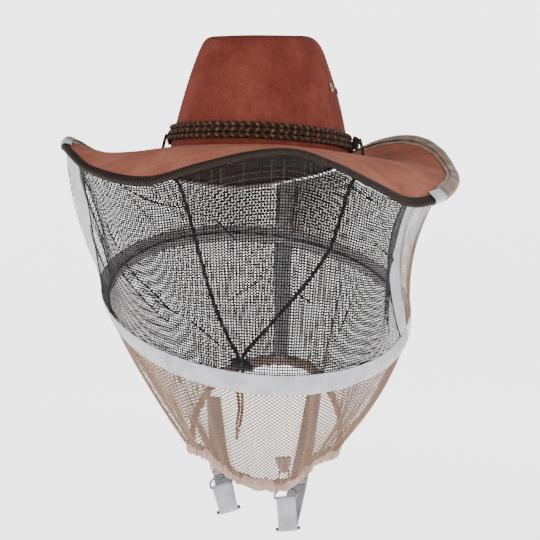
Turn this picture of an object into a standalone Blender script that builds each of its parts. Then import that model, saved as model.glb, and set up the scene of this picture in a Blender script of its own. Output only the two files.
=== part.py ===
"""A western hat with a bee veil: felt crown and wired brim, rope hat band, chin cord with a
cord lock, a fine front window, coarse side and back nets, a tape round a hidden hoop, a
gathered skirt, and two underarm straps that clip to the hem.

Metres, +Z up, the wearer looks along -Y. The origin is the middle of the head opening, at
brim level. A heading is an angle round the hat in degrees: 0 is the front, 90 is +X.
"""
import math

import bmesh
import bpy
from mathutils import Matrix, Vector

MM = 0.001

# ---- driving dimensions -----------------------------------------------------------------
GAP = 0.3 * MM                      # between pieces that touch
FACE_STEP = 10                      # heading between the sections of everything round the hat

CROWN_HALF_WIDTH = 88.5 * MM        # outside of the crown at the brim
CROWN_HALF_LENGTH = 106 * MM
CROWN_HEIGHT = 119 * MM
CROWN_WIDTH_TAPER = (18.5 * MM, 16.5 * MM)    # linear and square terms up to the full height
CROWN_LENGTH_TAPER = (14 * MM, 10 * MM)
CROWN_THICKNESS = 2 * MM
CROWN_FALL = (4 * MM, 10 * MM)      # the top's drop all round, and its extra at front and back
CROWN_EYELET_HEIGHT = 66.5 * MM
CROWN_EYELET_HEADINGS = {"crown_eyelet_front_right": 80, "crown_eyelet_back_right": 101,
                         "crown_eyelet_front_left": -80, "crown_eyelet_back_left": -101}

BRIM_RADIUS = 196 * MM
BRIM_THICKNESS = 2.6 * MM
BRIM_CURL = 2.2                     # power of the curve from the crown to the brim's edge
BRIM_SIDE_DIP = 6 * MM              # the left side dips before it curls up
BRIM_EDGE = (                       # heading, height of the edge
    (-158, -20 * MM), (-130, -12 * MM), (-105, -1 * MM), (-82, 11 * MM), (-66, 2 * MM),
    (-52, -11 * MM), (-38, -29 * MM), (-16, -42 * MM), (0, -28 * MM), (14, -15 * MM),
    (25, -12 * MM), (36, -23 * MM), (48, -39 * MM), (60, -51 * MM), (74, -44 * MM),
    (90, -28 * MM), (108, -8 * MM), (122, 16 * MM), (134, 31 * MM), (146, 35 * MM),
    (158, 27 * MM), (172, 5 * MM), (186, -8 * MM))
CORD_HOLE_REACH = 104 * MM          # from the hat's axis to the two cord holes in the brim

RING_SHIFT = 3 * MM                 # the hoop's middle lies to the right of the hat's
RING_RADIUS = 152 * MM
RING_HEIGHT = -145 * MM
RING_TILT = 71.5 * MM               # the hoop hangs this much lower at its low heading
RING_LOW_HEADING = 23
TAPE_WIDTH = 20 * MM
NET_THICKNESS = 1 * MM

LEFT_TAPE = (-76.5, -66.5)          # headings that each upright tape spans
RIGHT_TAPE = (82, 89.5)
BACK_TAPE = (182.3, 189.7)
SEAM = 0.3                          # heading left free between two panels
BRIM_TAPE_LEFT = (-72, -63)         # the short tapes folded over the brim's edge
BRIM_TAPE_RIGHT = (71, 78)

HEM_CENTRE = 12 * MM                # along X
HEM = (                             # heading round the hem's own middle, radius, height
    (-155, 103 * MM, -215 * MM), (-118, 80 * MM, -243 * MM), (-95, 74 * MM, -268 * MM),
    (-75, 70 * MM, -288 * MM), (-45, 80 * MM, -288 * MM), (-18, 100 * MM, -287 * MM),
    (-4, 104 * MM, -300 * MM), (10, 103 * MM, -311 * MM), (28, 103 * MM, -312 * MM),
    (42, 93 * MM, -301 * MM), (56, 78 * MM, -294 * MM), (80, 72 * MM, -292 * MM),
    (108, 76 * MM, -289 * MM), (140, 92 * MM, -252 * MM), (172, 107 * MM, -214 * MM))

ROPE_RADIUS = 2.5 * MM
CORD_RADIUS = 1.5 * MM
LOCK_CENTRE = Vector((-13 * MM, 0, -209 * MM))
LOCK_TILT = 14                      # the lock's left end is the higher one
CORD_SPACING = 2.5 * MM             # from the lock's middle to each cord

VIEW_TURN = 15                      # the hooks' broad side faces this heading
WEBBING_WIDTH = 18 * MM
WEBBING_THICKNESS = 1 * MM
WIRE_RADIUS = 1 * MM                # of hooks and rings
HOOKS = {                           # side: where its tab is folded, lean, length of its loop
    "left": ((-12.1 * MM, -81 * MM, -295.3 * MM), 18, 23 * MM),
    "right": ((53.4 * MM, -70.5 * MM, -302.8 * MM), 6, 28 * MM)}

# ---- scene and materials ----------------------------------------------------------------
for old in list(bpy.data.objects):
    bpy.data.objects.remove(old)

COLLECTION = bpy.data.collections.new("beekeeping_veil")
CUTTERS = bpy.data.collections.new("cutters")
bpy.context.scene.collection.children.link(COLLECTION)
bpy.context.scene.collection.children.link(CUTTERS)


def material(name, colour, roughness, metallic=0.0):
    made = bpy.data.materials.new(name)
    made.use_nodes = True
    shader = made.node_tree.nodes["Principled BSDF"]
    shader.inputs["Base Color"].default_value = (*colour, 1)
    shader.inputs["Roughness"].default_value = roughness
    shader.inputs["Metallic"].default_value = metallic
    return made


FELT = material("felt", (0.29, 0.085, 0.05), 0.9)
BINDING = material("binding", (0.05, 0.03, 0.025), 0.8)
LEATHERETTE = material("sweatband", (0.06, 0.04, 0.03), 0.6)
BRASS = material("brass", (0.55, 0.38, 0.18), 0.4, 1.0)
ROPE = material("rope", (0.12, 0.07, 0.045), 0.8)
CORD = material("cord", (0.03, 0.018, 0.015), 0.7)
PLASTIC = material("plastic", (0.015, 0.015, 0.016), 0.4)
STEEL = material("steel", (0.35, 0.34, 0.33), 0.3, 1.0)
BLACK_NET = material("black_net", (0.03, 0.03, 0.03), 0.8)
BROWN_NET = material("brown_net", (0.4, 0.27, 0.2), 0.8)
TAPE = material("tape", (0.6, 0.6, 0.62), 0.8)
WEBBING = material("webbing", (0.55, 0.55, 0.57), 0.8)
ELASTIC = material("elastic", (0.35, 0.24, 0.18), 0.8)


# ---- helpers ----------------------------------------------------------------------------
def direction(heading):
    """The level unit vector at a heading."""
    angle = math.radians(heading)
    return Vector((math.sin(angle), -math.cos(angle), 0))


def around(table, heading, column=1):
    """A value at a heading, on a smooth closed curve through the rows of a table."""
    first = table[0][0]
    heading = first + (heading - first) % 360
    index = max(k for k, row in enumerate(table) if row[0] <= heading)

    def knot(k):
        turns, row = divmod(k, len(table))
        return table[row][0] + 360 * turns, table[row][column]

    (x0, y0), (x1, y1), (x2, y2), (x3, y3) = (knot(index + k) for k in (-1, 0, 1, 2))
    t = (heading - x1) / (x2 - x1)
    slope1 = (y2 - y0) / (x2 - x0) * (x2 - x1)
    slope2 = (y3 - y1) / (x3 - x1) * (x2 - x1)
    return ((2 * t ** 3 - 3 * t ** 2 + 1) * y1 + (t ** 3 - 2 * t ** 2 + t) * slope1
            + (3 * t ** 2 - 2 * t ** 3) * y2 + (t ** 3 - t ** 2) * slope2)


def bell(heading, middle, width):
    """1 at the middle heading, falling to 0 on both sides of it."""
    away = (heading - middle + 180) % 360 - 180
    return math.exp(-(away / width) ** 2)


def headings(start, stop):
    """The two ends, and every whole step between them."""
    inner = [FACE_STEP * k for k in range(math.floor(start / FACE_STEP) + 1,
                                          math.ceil(stop / FACE_STEP))]
    return [start] + [h for h in inner if start + 1 < h < stop - 1] + [stop]


FULL_TURN = [FACE_STEP * k for k in range(round(360 / FACE_STEP))]


def rows(count, start=0.0, stop=1.0):
    return [start + (stop - start) * k / count for k in range(count + 1)]


def lifted(surface, u, v, offset):
    """A point off a surface of (heading, v), where v runs outwards or down."""
    step_u, step_v = 0.2, 1e-4
    along = surface(u + step_u, v) - surface(u - step_u, v)
    down = surface(u, v + step_v) - surface(u, v - step_v)
    return surface(u, v) + down.cross(along).normalized() * offset


def link(name, mesh, look):
    made = bpy.data.objects.new(name, mesh)
    mesh.materials.append(look)
    COLLECTION.objects.link(made)
    return made


def smooth(mesh):
    mesh.shade_smooth()
    mesh.set_sharp_from_angle(angle=math.radians(40))


def grid_mesh(name, sections, closed, ring_sections):
    """Faces between neighbouring sections; ring_sections also closes each section."""
    bm = bmesh.new()
    verts = [[bm.verts.new(p) for p in section] for section in sections]
    pairs = list(zip(verts, verts[1:] + verts[:1])) if closed else list(zip(verts, verts[1:]))
    size = len(verts[0])
    for near, far in pairs:
        for k in range(size if ring_sections else size - 1):
            after = (k + 1) % size
            bm.faces.new((near[k], near[after], far[after], far[k]))
    if ring_sections and not closed:
        bm.faces.new(list(reversed(verts[0])))
        bm.faces.new(verts[-1])
    bmesh.ops.recalc_face_normals(bm, faces=bm.faces)
    mesh = bpy.data.meshes.new(name)
    bm.to_mesh(mesh)
    bm.free()
    smooth(mesh)
    return mesh


def shell(name, surface, us, vs, thickness, look, closed=False):
    """A thin wall centred on a surface."""
    made = link(name, grid_mesh(name, [[surface(u, v) for v in vs] for u in us], closed, False),
                look)
    wall = made.modifiers.new("wall", "SOLIDIFY")
    wall.thickness = thickness
    wall.offset = 0
    return made


def swept(name, us, section, look, closed=False):
    """A solid through the closed sections at each u."""
    return link(name, grid_mesh(name, [section(u) for u in us], closed, True), look)


def tube(name, points, radius, look, closed=False, radii=None, sides=8):
    """A round wire through the points."""
    curve = bpy.data.curves.new(name, "CURVE")
    curve.dimensions = "3D"
    curve.bevel_depth = radius
    curve.bevel_resolution = sides // 2 - 2
    curve.use_fill_caps = True
    spline = curve.splines.new("POLY")
    spline.points.add(len(points) - 1)
    for k, p in enumerate(points):
        spline.points[k].co = (*p, 1)
        spline.points[k].radius = radii[k] if radii else 1
    spline.use_cyclic_u = closed
    return link(name, curve, look)


def smooth_route(points, spacing):
    """Points a spacing apart on a smooth curve through the route's own points."""
    ends = [points[0] * 2 - points[1]] + list(points) + [points[-1] * 2 - points[-2]]
    fine = []
    for k in range(1, len(ends) - 2):
        before, start, stop, after = ends[k - 1:k + 3]
        count = max(2, round((stop - start).length / spacing))
        for i in range(count):
            t = i / count
            fine.append(0.5 * (2 * start + (stop - before) * t
                               + (2 * before - 5 * start + 4 * stop - after) * t ** 2
                               + (3 * start - before - 3 * stop + after) * t ** 3))
    return fine + [points[-1]]


def as_mesh(made):
    """The curve object remade as a mesh with its caps welded on."""
    mesh = bpy.data.meshes.new_from_object(made.evaluated_get(
        bpy.context.evaluated_depsgraph_get()))
    bm = bmesh.new()
    bm.from_mesh(mesh)
    bmesh.ops.remove_doubles(bm, verts=bm.verts, dist=0.01 * MM)
    bmesh.ops.recalc_face_normals(bm, faces=bm.faces)
    bm.to_mesh(mesh)
    bm.free()
    name, matrix = made.name, made.matrix_world.copy()
    bpy.data.objects.remove(made)
    new = bpy.data.objects.new(name, mesh)
    new.matrix_world = matrix
    COLLECTION.objects.link(new)
    return new


def turned(name, profile, look, steps=12, closed=True):
    """A profile of (radius, height) pairs, down its outer side, turned about local Z."""
    mesh = bpy.data.meshes.new(name)
    edges = [(k, k + 1) for k in range(len(profile) - 1)]
    if closed:
        edges.append((len(profile) - 1, 0))
    mesh.from_pydata([(r, 0, z) for r, z in profile], edges, [])
    made = link(name, mesh, look)
    turn = made.modifiers.new("turn", "SCREW")
    turn.steps = turn.render_steps = steps
    turn.use_merge_vertices = True
    turn.merge_threshold = 0.00001
    turn.use_smooth_shade = False
    return made


def hide_cutter(made):
    for used in list(made.users_collection):
        used.objects.unlink(made)
    CUTTERS.objects.link(made)
    made.hide_render = True
    made.display_type = "WIRE"
    return made


def rod(name, radius, length, matrix, look=PLASTIC):
    mesh = bpy.data.meshes.new(name)
    bm = bmesh.new()
    bmesh.ops.create_cone(bm, cap_ends=True, segments=16, radius1=radius, radius2=radius,
                          depth=length)
    bm.to_mesh(mesh)
    bm.free()
    smooth(mesh)
    made = link(name, mesh, look)
    made.matrix_world = matrix
    return made


def rod_cutter(name, radius, length, matrix):
    return hide_cutter(rod(name, radius, length, matrix))


def boolean(made, other, operation):
    step = made.modifiers.new(operation.lower(), "BOOLEAN")
    step.object = other
    step.operation = operation


def standing_on(surface, u, v):
    """A placing on a surface, with local Z along its outward normal."""
    point = surface(u, v)
    outward = lifted(surface, u, v, MM) - point
    return Matrix.Translation(point) @ outward.to_track_quat("Z", "Y").to_matrix().to_4x4()


# ---- the hat's surfaces -----------------------------------------------------------------
def crown_reach(heading, height):
    """From the axis to the outside of the crown."""
    t = height / CROWN_HEIGHT
    half_width = CROWN_HALF_WIDTH - CROWN_WIDTH_TAPER[0] * t - CROWN_WIDTH_TAPER[1] * t * t
    half_length = CROWN_HALF_LENGTH - CROWN_LENGTH_TAPER[0] * t - CROWN_LENGTH_TAPER[1] * t * t
    away = direction(heading)
    return 1 / math.hypot(away.x / half_width, away.y / half_length)


CROWN_ROWS = (                      # height, share of the way in to the axis
    (0, 0), (20, 0), (45, 0), (70, 0), (92, 0), (108, 0), (116.5, 0.02), (120.5, 0.07),
    (121, 0.15), (117, 0.32), (107, 0.52), (99, 0.72), (97, 0.9))
CROWN_DENTS = (                     # heading, height, depth: the soft front pinch
    (-10, 92 * MM, 3.5 * MM), (22, 46 * MM, 2.5 * MM))


def crown_surface(heading, row):
    """The crown's mid-wall; rows climb the side and sink into the top, which is highest at
    the sides."""
    height, inward = CROWN_ROWS[round(row)]
    fall = CROWN_FALL[0] + CROWN_FALL[1] * (1 - inward) * math.cos(math.radians(heading)) ** 2
    level = height * MM - fall * (height * MM / CROWN_HEIGHT) ** 3
    side = crown_side(heading, -level)
    return Vector((side.x * (1 - inward), side.y * (1 - inward), side.z))


def crown_side(heading, drop):
    """The mid-wall of the crown's side, where drop is minus the height."""
    reach = crown_reach(heading, -drop) - CROWN_THICKNESS / 2
    for middle, level, depth in CROWN_DENTS:
        reach -= depth * bell(heading, middle, 16) * math.exp(-((drop + level) / 0.022) ** 2)
    return direction(heading) * reach - Vector((0, 0, drop))


def brim_height(heading, reach):
    start = crown_reach(heading, 0)
    share = (reach - start) / (BRIM_RADIUS - start)
    curl = math.copysign(abs(share) ** BRIM_CURL, share)
    dip = BRIM_SIDE_DIP * bell(heading, -82, 50) * 4 * share * (1 - share)
    return around(BRIM_EDGE, heading) * curl - dip


def brim_surface(heading, reach):
    return direction(heading) * reach + Vector((0, 0, brim_height(heading, reach)))


def on_brim(heading, inset, offset):
    """A point at an inset from the brim's edge, above or below its mid-surface."""
    if inset >= 0:
        return lifted(brim_surface, heading, BRIM_RADIUS - inset, offset)
    edge = brim_surface(heading, BRIM_RADIUS)
    outward = (edge - brim_surface(heading, BRIM_RADIUS - MM)).normalized()
    return lifted(brim_surface, heading, BRIM_RADIUS, offset) - outward * inset


def make_crown():
    crown = shell("crown_shell", crown_surface, FULL_TURN, range(len(CROWN_ROWS)),
                  CROWN_THICKNESS, FELT, closed=True)
    bm = bmesh.new()
    bm.from_mesh(crown.data)
    rim = [e for e in bm.edges if e.is_boundary and e.verts[0].co.z > CROWN_HEIGHT / 2]
    bmesh.ops.edgeloop_fill(bm, edges=rim)
    bmesh.ops.recalc_face_normals(bm, faces=bm.faces)
    bm.to_mesh(crown.data)
    bm.free()
    for name, heading in CROWN_EYELET_HEADINGS.items():
        place = standing_on(crown_side, heading, -CROWN_EYELET_HEIGHT)
        boolean(crown, rod_cutter(name + "_hole", 3.3 * MM, 12 * MM, place), "DIFFERENCE")
        make_eyelet(name, CROWN_THICKNESS / 2, place)


def make_eyelet(name, half_wall, place):
    """A rolled metal eyelet through a wall."""
    bore, barrel, face, back = 2.3 * MM, 2.9 * MM, 4.6 * MM, 4.2 * MM
    near, far = half_wall + 0.6 * MM, half_wall + 1.2 * MM
    turned(name, ((bore, far), (face, far - 0.1 * MM), (face, near), (barrel, near),
                  (barrel, -near), (back, -near), (back, 0.1 * MM - far), (bore, -far)),
           BRASS).matrix_world = place


BRIM_EDGE_ROWS = (24 * MM, 12 * MM, 6 * MM, 0)     # insets of the brim's outer sections


def make_brim():
    def section(heading):
        start = crown_reach(heading, 0) + GAP
        inset = BRIM_RADIUS - start
        insets = [inset + (BRIM_EDGE_ROWS[0] - inset) * t for t in (0, 0.18, 0.45, 0.72)]
        insets += BRIM_EDGE_ROWS
        half = BRIM_THICKNESS / 2
        return ([on_brim(heading, i, half) for i in insets]
                + [on_brim(heading, i, -half) for i in reversed(insets)])

    brim = swept("brim", FULL_TURN, section, FELT, closed=True)
    for side, heading in (("left", -90), ("right", 90)):
        place = standing_on(brim_surface, heading, CORD_HOLE_REACH)
        boolean(brim, rod_cutter(f"cord_hole_{side}", 3.3 * MM, 12 * MM, place), "DIFFERENCE")
        make_eyelet(f"brim_eyelet_{side}", BRIM_THICKNESS / 2, place)


def wrap_section(flaps, inner, outer):
    """A C round the brim's edge: (inset of the top flap, of the bottom flap), then the
    offsets of its inner and outer faces from the brim's mid-surface, edge on."""
    top, bottom = flaps
    nose_in, nose_out = BRIM_THICKNESS / 2 - inner, BRIM_THICKNESS / 2 - outer
    corner, bend = 0.6 * MM, 4 * MM
    return ((top, inner), (bend, inner), (nose_in, inner), (nose_in, -inner), (bend, -inner),
            (bottom, -inner), (bottom, -outer), (bend, -outer), (nose_out + corner, -outer),
            (nose_out, corner - outer), (nose_out, outer - corner),
            (nose_out + corner, outer), (bend, outer), (top, outer))


def brim_ring(name, span, section, look):
    """A piece that follows the brim's edge, all round or over a span of headings."""
    us = headings(*span) if span else FULL_TURN
    swept(name, us, lambda h: [on_brim(h, inset, offset) for inset, offset in section], look,
          closed=span is None)


def make_brim_edge():
    binding = BRIM_THICKNESS / 2 + 1.3 * GAP
    cover = binding + MM + 0.8 * MM
    brim_ring("brim_binding", None, wrap_section((6 * MM, 6 * MM), binding, binding + MM),
              BINDING)
    net_span = (BRIM_TAPE_RIGHT[1] + SEAM, 360 + BRIM_TAPE_LEFT[0] - SEAM)
    fold = wrap_section((12 * MM, 9 * MM), cover, cover + 0.8 * MM)
    brim_ring("brim_net_casing", net_span, fold, BROWN_NET)
    low, high = binding, binding + 0.8 * MM
    brim_ring("brim_elastic", net_span,
              ((11 * MM, low), (7 * MM, low), (7 * MM, high), (11 * MM, high)), ELASTIC)
    for side, span in (("left", BRIM_TAPE_LEFT), ("right", BRIM_TAPE_RIGHT)):
        brim_ring(f"brim_tape_{side}", span, fold, TAPE)


def make_sweatband():
    height, thickness = 28 * MM, 2 * MM
    foot = -2 * MM
    clear = CROWN_THICKNESS / 2 + 0.9 * MM

    def section(heading):
        points = []
        for level, inward in ((foot, 0), (foot, thickness), (height, thickness), (height, 0)):
            wall = crown_side(heading, -max(level, 0))
            wall.z = level
            points.append(wall - direction(heading) * (clear + inward))
        return points

    swept("sweatband", FULL_TURN, section, LEATHERETTE, closed=True)


# ---- the rope hat band ------------------------------------------------------------------
def band_height(heading, strand):
    return (10.2 + 5.4 * strand) * MM + 4 * MM * bell(heading, -90, 45)


def make_hat_band():
    for strand, name in enumerate(("band_rope_lower", "band_rope_middle", "band_rope_upper")):
        points = []
        for heading in FULL_TURN:
            height = band_height(heading, strand)
            reach = crown_reach(heading, height) + ROPE_RADIUS + 0.4 * MM
            points.append(direction(heading) * reach + Vector((0, 0, height)))
        tube(name, points, ROPE_RADIUS, ROPE, closed=True, sides=6)
    for side, heading, level in (("left", -90, 17 * MM), ("right", 90, 14 * MM)):
        outward = direction(heading)
        reach = crown_reach(heading, level) + 2 * ROPE_RADIUS + 5.2 * MM
        knot = [outward * reach + Vector((0, 0, level + s * 7 * MM)) for s in rows(6, -1, 1)]
        tube(f"band_knot_{side}", knot, 4 * MM, ROPE, radii=[0.55, 0.85, 1, 0.9, 1, 0.85, 0.55])
        hole = brim_surface(heading, CORD_HOLE_REACH)
        tail = [outward * (reach + 6.4 * MM) + Vector((0, 0, level + 4 * MM)),
                outward * (reach + 7.2 * MM) + Vector((0, 0, level - 2 * MM)),
                hole + Vector((0, 0, 7 * MM)), hole + Vector((0, 0, 4 * MM)),
                hole + Vector((0, 0, 0.8 * MM))]
        tube(f"rope_tail_{side}", smooth_route(tail, 2.5 * MM), 1.9 * MM, ROPE)


# ---- chin cord and cord lock ------------------------------------------------------------
CHIN_CORD_LEFT = (                  # x and z of the route below the brim, in millimetres
    (-104, -7), (-101.5, -13), (-95, -20), (-84.5, -30), (-77, -49), (-70.5, -68),
    (-59, -104), (-45, -145), (-28, -181), (-18.5, -196))
CHIN_CORD_RIGHT = (
    (104, -7), (102.5, -12), (97.5, -19), (91.5, -31), (86, -52), (75, -88),
    (61, -112), (45.5, -133), (24, -159), (4, -182), (-7, -195))
CORD_TAIL = (                       # x and z of the tail's middle below the lock
    (-13, -236), (-12, -244), (-11.4, -253), (-12.2, -262), (-13.4, -270))


def make_chin_cord():
    for side, route, sign in (("left", CHIN_CORD_LEFT, -1), ("right", CHIN_CORD_RIGHT, 1)):
        hole = brim_surface(90 * sign, CORD_HOLE_REACH)
        points = [hole + Vector((0, 0, 0.2 * MM)), hole + Vector((0, 0, -3 * MM))]
        points += [Vector((x, 0, z)) * MM for x, z in route]
        beside = LOCK_CENTRE + Vector((sign * CORD_SPACING, 0, 0))
        points += [beside + Vector((0, 0, dz * MM)) for dz in (8, 2, -9, -18)]
        for (x, z), closer in zip(CORD_TAIL, (0.95, 0.8, 0.7, 0.7, 0.7)):
            points.append(Vector((x * MM + sign * CORD_SPACING * closer, 0, z * MM)))
        tube(f"chin_cord_{side}", smooth_route(points, 8 * MM), CORD_RADIUS, CORD)
    x, z = CORD_TAIL[-1]
    knot = [Vector((x - 0.15 * k, 0, z - 0.35 - 2.5 * k)) * MM for k in range(7)]
    tube("cord_tail_knot", knot, 3.2 * MM, CORD, radii=[0.9, 1, 0.85, 0.95, 0.7, 0.5, 0.3])


def make_cord_lock():
    lean = Matrix.Rotation(math.radians(LOCK_TILT), 4, "Y")
    place = Matrix.Translation(LOCK_CENTRE) @ lean
    along = place @ Matrix.Rotation(math.radians(90), 4, "Y")

    body = turned("cord_lock_body",
                  [(0, 11 * MM)] + [(6.4 * MM * math.cos(a) ** 0.6, 11 * MM * math.sin(a))
                                    for a in (math.radians(d) for d in range(60, -61, -20))]
                  + [(0, -11 * MM)], PLASTIC, steps=20, closed=False)
    body.matrix_world = along
    for sign in (-1, 1):
        at = Matrix.Translation(LOCK_CENTRE + Vector((sign * CORD_SPACING, 0, 0)))
        boolean(body, rod_cutter(f"lock_hole_{sign}", 2.1 * MM, 24 * MM, at), "DIFFERENCE")
    # the bore is open at the lock's right end and blind at its left end
    bore = rod_cutter("lock_bore", 3.7 * MM, 24 * MM, along @ Matrix.Translation((0, 0, 4 * MM)))
    boolean(body, bore, "DIFFERENCE")

    plunger = rod("cord_lock_plunger", 3.3 * MM, 17.5 * MM,
                  along @ Matrix.Translation((0, 0, 5.2 * MM)))
    slot = bpy.data.meshes.new("plunger_slot")
    bm = bmesh.new()
    bmesh.ops.create_cube(bm, size=1, matrix=Matrix.Diagonal((12.6 * MM, 4.2 * MM, 20 * MM, 1)))
    bm.to_mesh(slot)
    bm.free()
    slot_cutter = link("plunger_slot", slot, PLASTIC)
    slot_cutter.matrix_world = Matrix.Translation(LOCK_CENTRE + Vector((1.5 * MM, 0, 0)))
    boolean(plunger, hide_cutter(slot_cutter), "DIFFERENCE")

    turns, steps, radius = 2, 9, 2.4 * MM
    first, last = -7.3 * MM, -4.3 * MM
    helix = []
    for k in range(turns * steps + 1):
        angle = math.tau * k / steps
        depth = first + (last - first) * k / (turns * steps)
        helix.append(along @ Vector((radius * math.cos(angle), radius * math.sin(angle), depth)))
    tube("cord_lock_spring", helix, 0.3 * MM, STEEL)


# ---- the veil's surfaces ----------------------------------------------------------------
WALL_INSET = (                      # heading, from the brim's edge in to the net's top
    (-100, 4 * MM), (-84, 5 * MM), (-76, 4 * MM), (-68, 17 * MM), (-58, 10 * MM),
    (-46, 4 * MM), (0, 4 * MM),
    (52, 5 * MM), (70, 16 * MM), (84, 29 * MM), (96, 12 * MM), (110, 5 * MM), (180, 4 * MM))
WALL_HOLLOW = (                     # heading, power: above 1 the wall hangs in a hollow curve
    (-120, 1), (-75, 0.8), (0, 1), (60, 1.2), (105, 2), (150, 1.5), (200, 1))
TUCK_DEPTH = 21 * MM                # the right tape is drawn in between brim and hoop
WALL_DROP = 6 * MM                  # the net starts this far under the brim's mid-surface
SKIRT_BULGE = 9 * MM


def ring_point(heading):
    low = math.cos(math.radians(heading - RING_LOW_HEADING))
    return (direction(heading) * RING_RADIUS
            + Vector((RING_SHIFT, 0, RING_HEIGHT - RING_TILT * low)))


def hem_point(heading):
    return (direction(heading) * around(HEM, heading, 1)
            + Vector((HEM_CENTRE, 0, around(HEM, heading, 2))))


def wall_surface(heading, v):
    """The veil between the brim (v = 0) and the hoop (v = 1)."""
    top = on_brim(heading, around(WALL_INSET, heading), -WALL_DROP)
    low = ring_point(heading)
    level = min(max(v, 0), 1)
    share = (1 - level) ** around(WALL_HOLLOW, heading)
    tuck = TUCK_DEPTH * bell(heading, 84, 15) * math.sin(math.pi * level ** 0.8)
    flat = low + (top - low) * share - direction(heading) * tuck
    flat.z = top.z + (low.z - top.z) * v
    return flat


def skirt_surface(heading, v):
    """The veil between the hoop (v = 0) and the hem (v = 1)."""
    top, low = ring_point(heading), hem_point(heading)
    bulge = SKIRT_BULGE * (0.35 + 0.65 * bell(heading, 70, 70))
    return top + (low - top) * v + direction(heading) * bulge * math.sin(math.pi * v)


def wall_share(heading, above):
    """v on the wall at a distance above the hoop."""
    top = on_brim(heading, around(WALL_INSET, heading), -WALL_DROP)
    return 1 - above / (top - ring_point(heading)).length


def skirt_share(heading, below):
    """v on the skirt at a distance below the hoop."""
    return below / (hem_point(heading) - ring_point(heading)).length


def wall_panel(name, span, look, count=6):
    """A net or tape between the brim and the hoop's tape."""
    def surface(heading, v):
        return wall_surface(heading, v * wall_share(heading, TAPE_WIDTH / 2 + 0.5 * MM))
    shell(name, surface, headings(*span), rows(count), NET_THICKNESS, look)


def skirt_panel(name, span, look, count=5):
    """A net or tape between the hoop's tape and the hem's casing."""
    def surface(heading, v):
        start = skirt_share(heading, TAPE_WIDTH / 2 + 0.5 * MM)
        length = (hem_point(heading) - ring_point(heading)).length
        return skirt_surface(heading, start + (1 - 7 * MM / length - start) * v)
    shell(name, surface, headings(*span), rows(count), NET_THICKNESS, look)


def hoop_tape(name, span):
    """The tape that covers the hoop, a little above and below it."""
    def surface(heading, v):
        if v <= 0:
            return wall_surface(heading, wall_share(heading, -v * TAPE_WIDTH / 2))
        return skirt_surface(heading, skirt_share(heading, v * TAPE_WIDTH / 2))
    shell(name, surface, headings(*span), (-1, -0.5, 0, 0.5, 1), NET_THICKNESS, TAPE)


def make_veil():
    turn = 360
    wall_panel("front_window_net", (LEFT_TAPE[1] + SEAM, RIGHT_TAPE[0] - SEAM), BLACK_NET)
    wall_panel("back_net_right", (RIGHT_TAPE[1] + SEAM, BACK_TAPE[0] - SEAM), BROWN_NET)
    wall_panel("back_net_left", (BACK_TAPE[1] + SEAM, turn + LEFT_TAPE[0] - SEAM), BROWN_NET)
    wall_panel("side_tape_left", LEFT_TAPE, TAPE)
    wall_panel("side_tape_right", RIGHT_TAPE, TAPE)
    wall_panel("back_seam_tape_upper", BACK_TAPE, TAPE, 4)
    hoop_tape("hoop_tape_front", (LEFT_TAPE[0], RIGHT_TAPE[1]))
    hoop_tape("hoop_tape_back", (RIGHT_TAPE[1] + SEAM, turn + LEFT_TAPE[0] - SEAM))
    skirt_panel("skirt_net_front", (LEFT_TAPE[1], RIGHT_TAPE[0]), BROWN_NET)
    skirt_panel("skirt_net_right", (RIGHT_TAPE[0] + SEAM, BACK_TAPE[0] - SEAM), BROWN_NET)
    skirt_panel("skirt_net_left", (BACK_TAPE[1] + SEAM, turn + LEFT_TAPE[1] - SEAM), BROWN_NET)
    skirt_panel("back_seam_tape_lower", BACK_TAPE, TAPE)
    wire = 1.5 * MM
    inside = wire + NET_THICKNESS / 2 + 0.9 * MM
    tube("hoop_wire", [ring_point(h) - direction(h) * inside for h in FULL_TURN], wire, STEEL,
         closed=True)


def make_hem():
    """The net's folded hem with a flat elastic in the fold."""
    def ring(name, section, look):
        swept(name, FULL_TURN,
              lambda h: [hem_point(h) + direction(h) * out * MM + Vector((0, 0, up * MM))
                         for out, up in section], look, closed=True)
    ring("hem_casing", ((1.3, 5), (1.3, -3.3), (-1.3, -3.3), (-1.3, 5), (-2.1, 5), (-2.1, -3.6),
                        (-1, -4.8), (1, -4.8), (2.1, -3.6), (2.1, 5)), BROWN_NET)
    ring("hem_elastic", ((0.5, -2.6), (0.5, 4.4), (-0.5, 4.4), (-0.5, -2.6)), ELASTIC)


# ---- hooks and underarm straps ----------------------------------------------------------
def local(points, place):
    return [place @ (Vector(p) * MM) for p in points]


def strip(name, path, width, place, look, thickness=WEBBING_THICKNESS, closed=False):
    """Webbing across local X that follows a path of (y, z) in millimetres."""
    half = [width / 2] * len(path) if isinstance(width, float) else [w / 2 for w in width]
    sections = [[place @ Vector((x * h, y * MM, z * MM)) for x in (-1, 0, 1)]
                for h, (y, z) in zip(half, path)]
    made = link(name, grid_mesh(name, sections, closed, False), look)
    wall = made.modifiers.new("wall", "SOLIDIFY")
    wall.thickness = thickness
    wall.offset = 0


def arc(centre, radius, start, stop, count):
    """Points (a, b) on an arc, angles in degrees."""
    return [(centre[0] + radius * math.cos(math.radians(a)),
             centre[1] + radius * math.sin(math.radians(a)))
            for a in rows(count, start, stop)]


EYE_TOP = -15.5                     # z of the swivel eye's wire, below the tab's fold
EYE_BAR = -25.5
EYE_HALF = 10.4


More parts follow.
